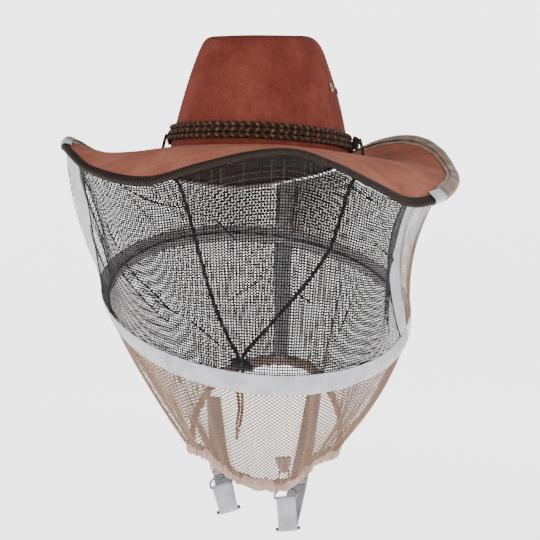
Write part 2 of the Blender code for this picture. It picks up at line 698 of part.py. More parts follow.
def make_hook(side):
    """Tab, snap hook, swivel eye, webbing loop with its slider, and the strap behind."""
    anchor, lean, drop = HOOKS[side]
    level = Matrix.Translation(anchor) @ Matrix.Rotation(math.radians(VIEW_TURN), 4, "Z")
    place = level @ Matrix.Rotation(math.radians(-lean), 4, "Y")

    fold = ((-6.3, 14), (-4, 8), (-2.9, 2.5), (-1.9, 0.2), (0, -0.7), (1.9, 0.2), (2.9, 2.5),
            (0.4, 8), (-4.3, 14.6))
    widths = [w * MM for w in (15, 13, 8, 5.4, 5, 5.4, 8, 13, 15)]
    strip(f"hem_tab_{side}", fold, widths, place, WEBBING, thickness=0.8 * MM)

    # the claw: up the spine, over the fold, down to its tip; the base closes it below
    claw_path = ([(2.4, -10.6), (3.9, -8.4), (4.5, -5.6)]
                 + arc((0, -1.3), 4.5, 0, 180, 8) + [(-4.5, -2.6)])
    claw = tube(f"hook_{side}", local([(x, 0, z) for x, z in claw_path], place), WIRE_RADIUS,
                STEEL, radii=[1.1, 1.1, 1.05] + [1] * 9 + [0.9])
    claw = as_mesh(claw)
    barrel = turned(f"barrel_{side}", ((1.25 * MM, -8.6 * MM), (2.6 * MM, -8.6 * MM),
                                       (2.9 * MM, -10.5 * MM), (2.4 * MM, -13.6 * MM),
                                       (1.25 * MM, -13.6 * MM)), STEEL, steps=16)
    barrel.matrix_world = place
    stub = rod_cutter(f"gate_seat_{side}", 0.9 * MM, 3.5 * MM,
                      place @ Matrix.Translation((-3.75 * MM, 0, -10.2 * MM))
                      @ Matrix.Rotation(math.radians(90), 4, "Y"))
    boolean(claw, hide_cutter(barrel), "UNION")
    boolean(claw, stub, "UNION")

    gate = local([(-5.4, 0, -8.3), (-5.2, 0, -6), (-4.7, 0, -3.1)], place)
    tube(f"hook_gate_{side}", gate, 0.8 * MM, STEEL)

    shaft = turned(f"swivel_pin_{side}",
                   ((0, -7.4 * MM), (1.9 * MM, -7.4 * MM), (1.9 * MM, -8.2 * MM),
                    (0.95 * MM, -8.2 * MM), (0.95 * MM, -14.2 * MM), (0, -14.2 * MM)),
                   STEEL, steps=12, closed=False)
    shaft.matrix_world = place
    # a D of wire, round over the top, with a straight bar for the webbing
    corner = arc((EYE_HALF - 2.5, EYE_BAR + 2.5), 2.5, -90, 0, 3)
    bow = [(EYE_HALF * math.cos(math.radians(a)), -22 + (EYE_TOP + 22) * math.sin(math.radians(a)))
           for a in rows(9, 8, 172)]
    outline = corner + bow + [(-x, z) for x, z in reversed(corner)]
    tube(f"swivel_eye_{side}", local([(x, 0, z) for x, z in outline], place), WIRE_RADIUS,
         STEEL, closed=True)

    # the webbing loop round the eye's bar and the slider's bar
    half_gap = 2.1
    bottom = EYE_BAR - drop / MM
    upper = arc((0, EYE_BAR), half_gap, 0, 180, 6)
    lower = arc((0, bottom), half_gap, 180, 360, 6)
    strip(f"strap_front_{side}", upper + lower, WEBBING_WIDTH, place, WEBBING, closed=True)
    rod(f"slider_{side}", 1.2 * MM, WEBBING_WIDTH + 5 * MM,
        place @ Matrix.Translation((0, 0, bottom * MM))
        @ Matrix.Rotation(math.radians(90), 4, "Y"))
    return level, place, bottom


STRAP_ENDS = {"left": Vector((-54 * MM, 44 * MM, -247 * MM)),
              "right": Vector((42 * MM, 98 * MM, -235 * MM))}


def make_strap_back(side, level, place, bottom):
    """The webbing that runs from behind the slider, under the arm, to the back of the hem."""
    start = place @ Vector((0, 13 * MM, (bottom + 1) * MM))
    stop = STRAP_ENDS[side]
    across = level.to_3x3() @ Vector((1, 0, 0))
    sections = []
    for t in rows(10):
        middle = start.lerp(stop, t) - Vector((0, 0, 12 * MM * math.sin(math.pi * t)))
        turn = Matrix.Rotation(math.radians(30 * t * (-1 if side == "left" else 1)), 3, "Z")
        side_step = turn @ across * (WEBBING_WIDTH / 2)
        sections.append([middle - side_step, middle, middle + side_step])
    made = link(f"strap_back_{side}", grid_mesh(f"strap_back_{side}", sections, False, False),
                WEBBING)
    wall = made.modifiers.new("wall", "SOLIDIFY")
    wall.thickness = WEBBING_THICKNESS
    wall.offset = 0


make_crown()
make_brim()
make_brim_edge()
make_sweatband()
make_hat_band()
make_chin_cord()
make_cord_lock()
make_veil()
make_hem()
for hook_side in HOOKS:
    make_strap_back(hook_side, *make_hook(hook_side))
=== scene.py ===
"""Looks of the western hat with a bee veil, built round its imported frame.

Metres, +Z up, the wearer looks along -Y, origin in the middle of the head opening. A heading
is an angle round the hat in degrees: 0 is the front, 90 is +X. Surfaces take arrays of
headings and shares, and give arrays of points.
"""
import math

import bpy
import numpy as np
from mathutils import Matrix, Vector


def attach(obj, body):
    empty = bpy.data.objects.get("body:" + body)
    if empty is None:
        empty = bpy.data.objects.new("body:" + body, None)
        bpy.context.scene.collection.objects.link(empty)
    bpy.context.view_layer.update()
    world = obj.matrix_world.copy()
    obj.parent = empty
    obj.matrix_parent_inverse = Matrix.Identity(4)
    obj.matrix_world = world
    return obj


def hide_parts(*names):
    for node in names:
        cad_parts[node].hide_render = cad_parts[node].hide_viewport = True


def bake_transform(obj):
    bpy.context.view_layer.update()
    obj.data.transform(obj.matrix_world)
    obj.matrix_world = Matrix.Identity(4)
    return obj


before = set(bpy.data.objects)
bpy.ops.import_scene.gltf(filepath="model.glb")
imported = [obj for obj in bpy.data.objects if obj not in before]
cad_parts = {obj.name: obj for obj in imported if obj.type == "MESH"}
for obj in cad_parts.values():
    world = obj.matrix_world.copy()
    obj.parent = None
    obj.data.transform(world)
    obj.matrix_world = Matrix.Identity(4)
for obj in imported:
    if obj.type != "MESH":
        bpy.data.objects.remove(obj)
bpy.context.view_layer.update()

MM = 0.001
RANDOM = np.random.default_rng(7)


def millimetres(first, rows):
    """Rows whose values from column first on are millimetres, in metres."""
    return tuple(row[:first] + tuple(value * MM for value in row[first:]) for row in rows)


def mesh_of(rows, columns):
    """The two coordinates of every crossing of a grid, rows first."""
    return np.meshgrid(rows, columns, indexing="ij")


# ---- the frame's own dimensions, which the surfaces below repeat --------------------------
CROWN_HALF_WIDTH = 88.5 * MM
CROWN_HALF_LENGTH = 106 * MM
CROWN_HEIGHT = 119 * MM
CROWN_WIDTH_TAPER = (18.5 * MM, 16.5 * MM)
CROWN_LENGTH_TAPER = (14 * MM, 10 * MM)
CROWN_THICKNESS = 2 * MM
CROWN_FALL = (4 * MM, 10 * MM)
BRIM_RADIUS = 196 * MM
BRIM_THICKNESS = 2.6 * MM
BRIM_CURL = 2.2
BRIM_SIDE_DIP = 6 * MM
BRIM_EDGE = millimetres(1, (
    (-158, -20), (-130, -12), (-105, -1), (-82, 11), (-66, 2),
    (-52, -11), (-38, -29), (-16, -42), (0, -28), (14, -15),
    (25, -12), (36, -23), (48, -39), (60, -51), (74, -44),
    (90, -28), (108, -8), (122, 16), (134, 31), (146, 35),
    (158, 27), (172, 5), (186, -8)))
CORD_HOLE_REACH = 104 * MM
RING_SHIFT = 3 * MM
RING_RADIUS = 152 * MM
RING_HEIGHT = -145 * MM
RING_TILT = 71.5 * MM
RING_LOW_HEADING = 23
TAPE_WIDTH = 20 * MM
LEFT_TAPE = (-76.5, -66.5)
RIGHT_TAPE = (82, 89.5)
BACK_TAPE = (182.3, 189.7)
SEAM = 0.3
BRIM_TAPE_LEFT = (-72, -63)
BRIM_TAPE_RIGHT = (71, 78)
HEM_CENTRE = 12 * MM
HEM = millimetres(1, (
    (-155, 103, -215), (-118, 80, -243), (-95, 74, -268),
    (-75, 70, -288), (-45, 80, -288), (-18, 100, -287),
    (-4, 104, -300), (10, 103, -311), (28, 103, -312),
    (42, 93, -301), (56, 78, -294), (80, 72, -292),
    (108, 76, -289), (140, 92, -252), (172, 107, -214)))
ROPE_RADIUS = 2.5 * MM
CORD_RADIUS = 1.5 * MM              # inside the lock and below it, where the braid is pulled thin
CORD_FULL = 1.9 * MM                # above the lock
LOCK_CENTRE = np.array((-13 * MM, 0, -209 * MM))
CORD_SPACING = 2.5 * MM
LOCK_TILT = 14
SPRING_TURNS = 2
SPRING_RADIUS = 2.4                 # millimetres, as the next
SPRING_DEPTH = (-7.3, -4.3)         # along the lock, from its middle
VIEW_TURN = 15
WEBBING_WIDTH = 18 * MM
WEBBING_THICKNESS = 1 * MM
WIRE_RADIUS = 1 * MM
HOOKS = {
    "left": ((-12.1 * MM, -81 * MM, -295.3 * MM), 18, 23 * MM),
    "right": ((53.4 * MM, -70.5 * MM, -302.8 * MM), 6, 28 * MM)}
WALL_INSET = millimetres(1, (
    (-100, 4), (-84, 5), (-76, 4), (-68, 17), (-58, 10),
    (-46, 4), (0, 4),
    (52, 5), (70, 16), (84, 29), (96, 12), (110, 5), (180, 4)))
WALL_HOLLOW = (
    (-120, 1), (-75, 0.8), (0, 1), (60, 1.2), (105, 2), (150, 1.5), (200, 1))
TUCK_DEPTH = 21 * MM
WALL_DROP = 6 * MM
SKIRT_BULGE = 9 * MM
STRAP_ENDS = {"left": (-54 * MM, 44 * MM, -247 * MM), "right": (42 * MM, 98 * MM, -235 * MM)}


# ---- camera, floor and light --------------------------------------------------------------
CAMERA_DISTANCE = 1.4
CAMERA_HEIGHT = -0.1134
CAMERA_SHIFT = 0.0135               # the optical axis passes this far right of the hat's axis
CAMERA_ROLL = 2
SENSOR_WIDTH = 36                   # millimetres
FOCAL_IN_FRAMES = 1400 / 540        # focal length over the frame's width


def make_camera():
    turn, roll = math.radians(VIEW_TURN), math.radians(CAMERA_ROLL)
    right = Vector((math.cos(turn), math.sin(turn), 0))
    toward = Vector((math.sin(turn), -math.cos(turn), 0))
    up = Vector((0, 0, 1))
    cam_right = right * math.cos(roll) + up * math.sin(roll)
    cam_up = up * math.cos(roll) - right * math.sin(roll)
    place = Matrix((cam_right, cam_up, toward)).transposed().to_4x4()
    place.translation = right * CAMERA_SHIFT + toward * CAMERA_DISTANCE + up * CAMERA_HEIGHT
    data = bpy.data.cameras.new("camera")
    data.sensor_width = SENSOR_WIDTH
    data.lens = FOCAL_IN_FRAMES * SENSOR_WIDTH
    camera = bpy.data.objects.new("camera", data)
    camera.matrix_world = place
    bpy.context.collection.objects.link(camera)
    bpy.context.scene.camera = camera


def area_light(name, place, target, size, power):
    data = bpy.data.lights.new(name, "AREA")
    data.size = size
    data.energy = power
    light = bpy.data.objects.new(name, data)
    light.location = place
    light.rotation_euler = (Vector(target) - Vector(place)).to_track_quat("-Z", "Y").to_euler()
    bpy.context.collection.objects.link(light)


def make_studio():
    world = bpy.data.worlds.new("studio")
    world.use_nodes = True
    world.node_tree.nodes["Background"].inputs["Color"].default_value = (1, 1, 1, 1)
    world.node_tree.nodes["Background"].inputs["Strength"].default_value = 0.35
    bpy.context.scene.world = world
    middle = (0, 0, -0.12)
    area_light("key", (-1.1, -1.7, 1.5), middle, 1.4, 20)
    area_light("fill", (1.9, -1.1, 0.5), middle, 1.6, 9)
    area_light("back", (0.4, 1.9, 1.3), middle, 1.6, 18)

    # a round bowl of pale paper: a flat floor that rises smoothly on all sides
    floor, flat, rise, sides = -0.46, 2.2, 1.6, 96
    profile = [(reach, floor) for reach in (0.4, 1.4, 2.1, flat)]
    profile += [(flat + rise * math.sin(a), floor + rise * (1 - math.cos(a)))
                for a in np.linspace(0, math.pi / 2, 13)[1:]]
    verts, quads = [], []
    for reach, height in profile:
        for k in range(sides):
            angle = math.tau * k / sides
            verts.append((reach * math.cos(angle), reach * math.sin(angle), height))
    for row in range(len(profile) - 1):
        for k in range(sides):
            after = (k + 1) % sides
            quads.append((row * sides + k, (row + 1) * sides + k,
                          (row + 1) * sides + after, row * sides + after))
    mesh = bpy.data.meshes.new("studio_floor")
    mesh.from_pydata(verts, [], quads + [tuple(range(sides))])
    mesh.shade_smooth()
    paper = bpy.data.materials.new("paper")
    paper.use_nodes = True
    shader = paper.node_tree.nodes["Principled BSDF"]
    shader.inputs["Base Color"].default_value = (0.9, 0.9, 0.9, 1)
    shader.inputs["Roughness"].default_value = 0.9
    shader.inputs["Emission Color"].default_value = (1, 1, 1, 1)
    shader.inputs["Emission Strength"].default_value = 2.2
    mesh.materials.append(paper)
    bowl = bpy.data.objects.new("studio_floor", mesh)
    bowl.visible_shadow = False
    bpy.context.collection.objects.link(bowl)


# ---- materials ----------------------------------------------------------------------------
def linear(*rgb):
    """Linear colour from display values of 0 to 255."""
    return tuple((c / 255 / 12.92 if c / 255 <= 0.04045 else ((c / 255 + 0.055) / 1.055) ** 2.4)
                 for c in rgb) + (1,)


class Look:
    """A Principled material whose colour and bump come from node patterns."""

    def __init__(self, name, roughness, metallic=0.0, **sockets):
        self.material = bpy.data.materials.new(name)
        self.material.use_nodes = True
        self.tree = self.material.node_tree
        self.shader = self.tree.nodes["Principled BSDF"]
        self.shader.inputs["Roughness"].default_value = roughness
        self.shader.inputs["Metallic"].default_value = metallic
        for socket, value in sockets.items():
            self.shader.inputs[socket.replace("_", " ")].default_value = value
        self.normal = None

    def node(self, kind, **values):
        made = self.tree.nodes.new(kind)
        for key, value in values.items():
            if key in made.inputs:
                made.inputs[key].default_value = value
            else:
                setattr(made, key, value)
        return made

    def link(self, start, stop):
        self.tree.links.new(start, stop)

    def place(self, kind="Object", stretch=(1, 1, 1)):
        """Coordinates: the object's own, or metres along and across a woven piece."""
        if kind == "weave":
            source = self.node("ShaderNodeUVMap", uv_map="weave").outputs["UV"]
        else:
            source = self.node("ShaderNodeTexCoord").outputs[kind]
        scaled = self.node("ShaderNodeMapping", Scale=stretch)
        self.link(source, scaled.inputs["Vector"])
        return scaled.outputs["Vector"]

    def noise(self, scale, detail=4, place=None):
        made = self.node("ShaderNodeTexNoise", Scale=scale, Detail=detail)
        self.link(place or self.place(), made.inputs["Vector"])
        return made.outputs["Fac"]

    def wave(self, scale, direction, place):
        made = self.node("ShaderNodeTexWave", Scale=scale)
        made.bands_direction = direction
        self.link(place, made.inputs["Vector"])
        return made.outputs["Fac"]

    def math(self, operation, a, b):
        """A sum or product of outputs and numbers."""
        made = self.node("ShaderNodeMath", operation=operation)
        for socket, value in zip(made.inputs, (a, b)):
            if isinstance(value, (int, float)):
                socket.default_value = value
            else:
                self.link(value, socket)
        return made.outputs[0]

    def colour(self, factor, *stops):
        """Colour along a ramp of (position, colour) stops."""
        ramp = self.node("ShaderNodeValToRGB")
        elements = ramp.color_ramp.elements
        while len(elements) < len(stops):
            elements.new(0.5)
        for element, (position, colour) in zip(elements, stops):
            element.position = position
            element.color = colour
        self.link(factor, ramp.inputs["Fac"])
        return ramp.outputs["Color"]

    def base(self, colour):
        self.link(colour, self.shader.inputs["Base Color"])
        return self

    def rough(self, factor, low, high):
        spread = self.node("ShaderNodeMapRange")
        spread.inputs["To Min"].default_value = low
        spread.inputs["To Max"].default_value = high
        self.link(factor, spread.inputs["Value"])
        self.link(spread.outputs["Result"], self.shader.inputs["Roughness"])

    def bump(self, height, strength, distance):
        made = self.node("ShaderNodeBump", Strength=strength, Distance=distance)
        self.link(height, made.inputs["Height"])
        if self.normal:
            self.link(self.normal, made.inputs["Normal"])
        self.normal = made.outputs["Normal"]
        self.link(self.normal, self.shader.inputs["Normal"])
        return self


def felt_look(name, dark, middle, light):
    """Brushed suede felt: broad blotches, partly uneven tone and partly painted shade of dents,
    streaky nap and a fine fibre grain.
    """
    look = Look(name, 1.0, Specular_IOR_Level=0.05)
    # broad blotches: the felt's uneven tone mixed with painted shade standing in for the shading
    # of its dents
    blotches_and_shade = look.noise(24, 5)
    nap = look.noise(150, 6, look.place("Object", (1, 1, 0.45)))
    fine = look.noise(520, 3)
    mixed = look.math("ADD", look.math("MULTIPLY", blotches_and_shade, 0.5), look.math("MULTIPLY", nap, 0.2))
    mixed = look.math("ADD", mixed, look.math("MULTIPLY", fine, 0.3))
    look.base(look.colour(mixed, (0.36, dark), (0.5, middle), (0.64, light)))
    look.bump(nap, 0.25, 0.6 * MM)
    look.bump(look.noise(1500, 3), 0.3, 0.2 * MM)
    return look.material


def yarn_look(name, dark, light, pitch):
    """Twisted or braided yarn: fine slanted plies on a piece with a weave map."""
    look = Look(name, 0.8, Specular_IOR_Level=0.15)
    slanted = look.place("weave", (1 / pitch, 1 / pitch, 1))
    plies = look.wave(2 / math.tau, "DIAGONAL", slanted)
    flecks = look.noise(320, 3)
    mixed = look.math("ADD", look.math("MULTIPLY", plies, 0.45),
                      look.math("MULTIPLY", flecks, 0.55))
    look.base(look.colour(mixed, (0.3, dark), (0.72, light)))
    look.bump(plies, 0.6, 0.25 * MM)
    look.bump(flecks, 0.2, 0.1 * MM)
    return look.material


def tape_look(name, shade, light, rib, ribs_across=False):
    """Woven tape: fine ribs, crossing picks, and slight soiling."""
    look = Look(name, 0.75, Sheen_Weight=0.15)
    place = look.place("weave", (1 / rib, 1 / rib, 1))
    warp = look.wave(0.32, "Y" if ribs_across else "X", place)
    picks = look.wave(0.32, "X" if ribs_across else "Y", place)
    cloth = look.math("MULTIPLY", warp, look.math("ADD", look.math("MULTIPLY", picks, 0.5), 0.5))
    soil = look.noise(60, 4)
    mixed = look.math("ADD", look.math("MULTIPLY", cloth, 0.35), look.math("MULTIPLY", soil, 0.65))
    look.base(look.colour(mixed, (0.25, shade), (0.6, light)))
    look.bump(cloth, 0.45, 0.25 * MM)
    return look.material


def thread_look(name, colour):
    return Look(name, 0.6, Base_Color=colour, Specular_IOR_Level=0.1).material


def metal_look(name, dark, light, low, high):
    look = Look(name, low, 1.0)
    wear = look.noise(240, 5)
    look.base(look.colour(wear, (0.35, dark), (0.65, light)))
    look.rough(wear, low, high)
    look.bump(look.noise(900, 2), 0.08, 0.05 * MM)
    return look.material


def plastic_look(name, dark, light):
    look = Look(name, 0.45)
    grain = look.noise(700, 3)
    look.base(look.colour(grain, (0.4, dark), (0.65, light)))
    look.rough(grain, 0.38, 0.55)
    look.bump(grain, 0.15, 0.08 * MM)
    return look.material


def leather_look(name, dark, light):
    look = Look(name, 0.5)
    grain = look.node("ShaderNodeTexVoronoi", Scale=700)
    look.link(look.place(), grain.inputs["Vector"])
    look.base(look.colour(look.noise(70, 4), (0.35, dark), (0.65, light)))
    look.bump(grain.outputs["Distance"], 0.35, 0.2 * MM)
    return look.material


CROWN_FELT = felt_look("crown_felt", linear(78, 34, 28), linear(92, 44, 36), linear(106, 55, 46))
BRIM_FELT = felt_look("brim_felt", linear(124, 72, 59), linear(142, 87, 72), linear(157, 101, 85))
# the brim's underside: the brim's felt with painted shade, far darker than its top
SHADED_UNDER_FELT = felt_look("under_felt_painted_shade", linear(38, 21, 17), linear(48, 27, 22), linear(56, 33, 27))
BRAID = yarn_look("braid", linear(16, 10, 9), linear(44, 33, 28), 1.6 * MM)
ROPE_DARK = yarn_look("rope_dark", linear(18, 10, 9), linear(52, 32, 26), 1.2 * MM)
ROPE_PALE = yarn_look("rope_pale", linear(44, 27, 19), linear(104, 74, 54), 1.2 * MM)
CORD_BRAID = yarn_look("cord_braid", linear(8, 5, 5), linear(30, 19, 17), 1.1 * MM)
TAPE = tape_look("tape", linear(134, 133, 139), linear(176, 175, 182), 1.0 * MM)
# the back tapes: the same tape painted lighter, painted light making up for the shade of the net
# over them
BACK_TAPE_PAINTED_LIGHT = tape_look("back_tape", linear(190, 188, 188), linear(232, 230, 232), 1.0 * MM)
WEBBING = tape_look("webbing", linear(120, 120, 127), linear(164, 163, 171), 1.6 * MM, True)
ELASTIC = tape_look("elastic", linear(120, 96, 80), linear(160, 134, 114), 1.2 * MM)
HEM_CLOTH = tape_look("hem_cloth", linear(120, 92, 80), linear(168, 140, 126), 1.5 * MM)
FOLD_CLOTH = tape_look("fold_cloth", linear(66, 46, 36), linear(136, 106, 84), 1.6 * MM)
GUNMETAL = metal_look("gunmetal", linear(70, 68, 66), linear(128, 126, 124), 0.22, 0.42)
BRASS = metal_look("brass", linear(74, 58, 38), linear(132, 108, 72), 0.28, 0.5)
PLASTIC = plastic_look("plastic", linear(22, 22, 23), linear(38, 38, 40))
LEATHERETTE = leather_look("sweatband", linear(30, 22, 18), linear(56, 42, 34))
BLACK_THREADS = [thread_look("black_thread", linear(12, 12, 13)),
                 thread_look("black_thread_soft", linear(24, 23, 24)),
                 thread_look("black_thread_dusty", linear(42, 40, 40))]
BROWN_THREADS = [thread_look("brown_thread", linear(104, 80, 66)),
                 thread_look("brown_thread_golden", linear(126, 100, 74)),
                 thread_look("brown_thread_rosy", linear(118, 94, 86))]


# ---- surfaces -----------------------------------------------------------------------------
def direction(heading):
    angle = np.radians(heading)
    return np.stack((np.sin(angle), -np.cos(angle), np.zeros_like(angle)), -1)


def unit(vectors):
    return vectors / np.maximum(np.linalg.norm(vectors, axis=-1, keepdims=True), 1e-12)


def around(table, heading, column=1):
    """A value at each heading, on a smooth closed curve through the rows of a table."""
    xs = np.array([row[0] for row in table], float)
    ys = np.array([row[column] for row in table], float)
    heading = xs[0] + (heading - xs[0]) % 360
    index = np.searchsorted(xs, heading, side="right") - 1

    def knot(k):
        return xs[k % len(xs)] + 360 * (k // len(xs)), ys[k % len(xs)]

    (x0, y0), (x1, y1), (x2, y2), (x3, y3) = (knot(index + k) for k in (-1, 0, 1, 2))
    t = (heading - x1) / (x2 - x1)
    slope1 = (y2 - y0) / (x2 - x0) * (x2 - x1)
    slope2 = (y3 - y1) / (x3 - x1) * (x2 - x1)
    return ((2 * t ** 3 - 3 * t ** 2 + 1) * y1 + (t ** 3 - 2 * t ** 2 + t) * slope1
            + (3 * t ** 2 - 2 * t ** 3) * y2 + (t ** 3 - t ** 2) * slope2)


def bell(heading, middle, width):
    away = (heading - middle + 180) % 360 - 180
    return np.exp(-(away / width) ** 2)


def lifted(surface, u, v, offset):
    """Points off a surface of (heading, v), where v runs outwards or down."""
    step_u, step_v = 0.2, 1e-4
    along = surface(u + step_u, v) - surface(u - step_u, v)
    down = surface(u, v + step_v) - surface(u, v - step_v)
    return surface(u, v) + unit(np.cross(down, along)) * np.asarray(offset)[..., None]


def raised(points, height):
    points = points.copy()
    points[..., 2] += height
    return points


def crown_reach(heading, height):
    t = height / CROWN_HEIGHT
    half_width = CROWN_HALF_WIDTH - CROWN_WIDTH_TAPER[0] * t - CROWN_WIDTH_TAPER[1] * t * t
    half_length = CROWN_HALF_LENGTH - CROWN_LENGTH_TAPER[0] * t - CROWN_LENGTH_TAPER[1] * t * t
    away = direction(heading)
    return 1 / np.hypot(away[..., 0] / half_width, away[..., 1] / half_length)


CROWN_ROWS = (                      # millimetres up, share of the way in to the middle
    (0, 0), (20, 0), (45, 0), (70, 0), (92, 0), (108, 0), (116.5, 0.02), (120.5, 0.07),
    (121, 0.15), (117, 0.32), (107, 0.52), (99, 0.72), (97, 0.9), (97, 1))
CROWN_DENTS = ((-10, 92 * MM, 3.5 * MM), (22, 46 * MM, 2.5 * MM))    # heading, height, depth
DENT_WIDTH = 16                     # degrees
DENT_HEIGHT = 0.022


def crown_side(heading, height):
    reach = crown_reach(heading, height) - CROWN_THICKNESS / 2
    for middle, level, depth in CROWN_DENTS:
        reach = reach - depth * bell(heading, middle, DENT_WIDTH) * np.exp(
            -((height - level) / DENT_HEIGHT) ** 2)
    return raised(direction(heading) * reach[..., None], height)


def brim_surface(heading, reach):
    start = crown_reach(heading, 0)
    share = (reach - start) / (BRIM_RADIUS - start)
    curl = np.copysign(np.abs(share) ** BRIM_CURL, share)
    dip = BRIM_SIDE_DIP * bell(heading, -82, 50) * 4 * share * (1 - share)
    return raised(direction(heading) * np.asarray(reach)[..., None],
                  around(BRIM_EDGE, heading) * curl - dip)


def on_brim(heading, inset, offset):
    """Points at an inset from the brim's edge, above or below its mid-surface."""
    edge = np.full_like(heading, BRIM_RADIUS)
    outward = unit(brim_surface(heading, edge) - brim_surface(heading, edge - MM))
    points = lifted(brim_surface, heading, edge - np.maximum(inset, 0), offset)
    return points + outward * np.maximum(-inset, 0)[..., None]


def ring_point(heading):
    low = np.cos(np.radians(heading - RING_LOW_HEADING))
    points = raised(direction(heading) * RING_RADIUS, RING_HEIGHT - RING_TILT * low)
    points[..., 0] += RING_SHIFT
    return points


def hem_point(heading):
    points = raised(direction(heading) * around(HEM, heading, 1)[..., None],
                    around(HEM, heading, 2))
    points[..., 0] += HEM_CENTRE
    return points


def wall_top(heading):
    return on_brim(heading, around(WALL_INSET, heading), np.full_like(heading, -WALL_DROP))


def wall_surface(heading, v):
    top, low = wall_top(heading), ring_point(heading)
    level = np.clip(v, 0, 1)
    share = (1 - level) ** around(WALL_HOLLOW, heading)
    tuck = TUCK_DEPTH * bell(heading, 84, 15) * np.sin(np.pi * level ** 0.8)
    points = low + (top - low) * share[..., None] - direction(heading) * tuck[..., None]
    points[..., 2] = top[..., 2] + (low[..., 2] - top[..., 2]) * v
    return points


def skirt_surface(heading, v):
    top, low = ring_point(heading), hem_point(heading)
    bulge = SKIRT_BULGE * (0.35 + 0.65 * bell(heading, 70, 70)) * np.sin(np.pi * v)
    return top + (low - top) * v[..., None] + direction(heading) * bulge[..., None]


def wall_share(heading, above):
    return 1 - above / np.linalg.norm(wall_top(heading) - ring_point(heading), axis=-1)


def skirt_share(heading, below):
    return below / np.linalg.norm(hem_point(heading) - ring_point(heading), axis=-1)


# ---- mesh makers --------------------------------------------------------------------------
def settle(piece, replaced=(), body="root"):
    """The piece's body, and the frame's solids that it stands for."""
    if replaced:
        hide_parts(*replaced)
    if body:
        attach(piece, body)
    return piece


def mesh_piece(name, verts, faces, looks, look_index=None, corner_uvs=None):
    mesh = bpy.data.meshes.new(name)
    mesh.from_pydata(verts.reshape(-1, 3).tolist(), [], faces)
    for look in looks:
        mesh.materials.append(look)
    if look_index is not None:
        mesh.polygons.foreach_set("material_index", np.asarray(look_index, np.int32))
    if corner_uvs is not None:
        layer = mesh.uv_layers.new(name="weave")
        flat = np.zeros((len(mesh.loops), 2), np.float32)
        flat[:len(corner_uvs)] = corner_uvs
        layer.data.foreach_set("uv", flat.ravel())
    mesh.shade_smooth()
    mesh.set_sharp_from_angle(angle=math.radians(50))
    made = bpy.data.objects.new(name, mesh)
    bpy.context.collection.objects.link(made)
    return made


def lengths_along(points):
    """Distance from the first point to each, along an open row of points."""
    steps = np.linalg.norm(np.diff(points, axis=0), axis=1)
    return np.concatenate(([0], np.cumsum(steps)))


def grid_piece(name, points, looks, closed_u=False, closed_v=False, look_of_row=None,
               caps=False):
    """Quads between points[u, v], with the weave map in metres along u and across v.

    look_of_row gives the index of each row's look, on pieces without caps.
    """
    nu, nv = points.shape[:2]
    i, j = mesh_of(np.arange(nu if closed_u else nu - 1),
                       np.arange(nv if closed_v else nv - 1))
    i, j = i.ravel(), j.ravel()
    i2, j2 = (i + 1) % nu, (j + 1) % nv
    faces = np.stack((i * nv + j, i * nv + j2, i2 * nv + j2, i2 * nv + j), -1)
    wrapped = np.concatenate((points, points[:1])) if closed_u else points
    along = lengths_along(wrapped[:, nv // 2])
    across = np.concatenate((points, points[:, :1]), 1) if closed_v else points
    across = lengths_along(across[nu // 2])
    uvs = np.stack((np.stack((along[i], across[j]), -1), np.stack((along[i], across[j + 1]), -1),
                    np.stack((along[i + 1], across[j + 1]), -1),
                    np.stack((along[i + 1], across[j]), -1)), 1).reshape(-1, 2)
    faces = faces.tolist()
    index = [look_of_row[k] for k in j] if look_of_row is not None else None
    if caps:
        faces.append(list(range(nv - 1, -1, -1)))
        faces.append(list(range((nu - 1) * nv, nu * nv)))
    return mesh_piece(name, points, faces, looks, index, uvs)


def cloth_piece(name, points, look, thickness, closed_u=False):
    made = grid_piece(name, points, [look], closed_u)
    wall = made.modifiers.new("thickness", "SOLIDIFY")
    wall.thickness = thickness
    wall.offset = 0
    return made


def square_to(line, hints, closed):
    """Two unit vectors square to a line and to each other, the first towards the hints."""
    tangent = unit(np.roll(line, -1, 0) - np.roll(line, 1, 0) if closed
                   else np.gradient(line, axis=0))
    a = unit(hints - tangent * (hints * tangent).sum(-1, keepdims=True))
    return a, np.cross(tangent, a)


def tube_points(line, hints, radius, sides, closed=False):
    """Rings of points round a line, with ring zero turned towards the hints."""
    a, b = square_to(line, hints, closed)
    angle = math.tau * np.arange(sides) / sides
    spread = a[:, None] * np.cos(angle)[:, None] + b[:, None] * np.sin(angle)[:, None]
    return line[:, None] + spread * radius[:, None, None]


def tube_piece(name, line, radius, look, hint=(0, 1, 0), sides=12, closed=False):
    """One round cord or wire along a line."""
    line = np.asarray(line, float)
    hints = np.broadcast_to(np.asarray(hint, float), line.shape)
    radius = np.broadcast_to(np.asarray(radius, float), line.shape[:1])
    points = tube_points(line, hints, radius, sides, closed)
    return grid_piece(name, points, [look], closed_u=closed, closed_v=True, caps=not closed)


ARCH = 0.27                         # a thread's rise over its width


def thread_piece(name, bundles, looks):
    """Many arched threads: bundles of (lines[n, m], hints[n, m], widths[n, m])."""
    verts, faces, index, first = [], [], [], 0
    for lines, hints, widths in bundles:
        n, m = lines.shape[:2]
        tangent = unit(np.gradient(lines, axis=1))
        up = unit(hints - tangent * (hints * tangent).sum(-1, keepdims=True))
        side = np.cross(tangent, up) * widths[..., None] / 2
        rails = np.stack((lines - side, lines + up * widths[..., None] * ARCH, lines + side), 2)
        verts.append(rails.reshape(-1, 3))
        thread, i, j = np.meshgrid(np.arange(n), np.arange(m - 1), np.arange(2), indexing="ij")
        start = first + (thread * m + i) * 3 + j
        quads = np.stack((start, start + 1, start + 4, start + 3), -1)
        faces.append(quads.reshape(-1, 4))
        tones = RANDOM.choice(len(looks), n, p=(0.6, 0.25, 0.15))
        index.append(np.repeat(tones, (m - 1) * 2))
        first += n * m * 3
    return mesh_piece(name, np.concatenate(verts), np.concatenate(faces).tolist(), looks,
                      np.concatenate(index))


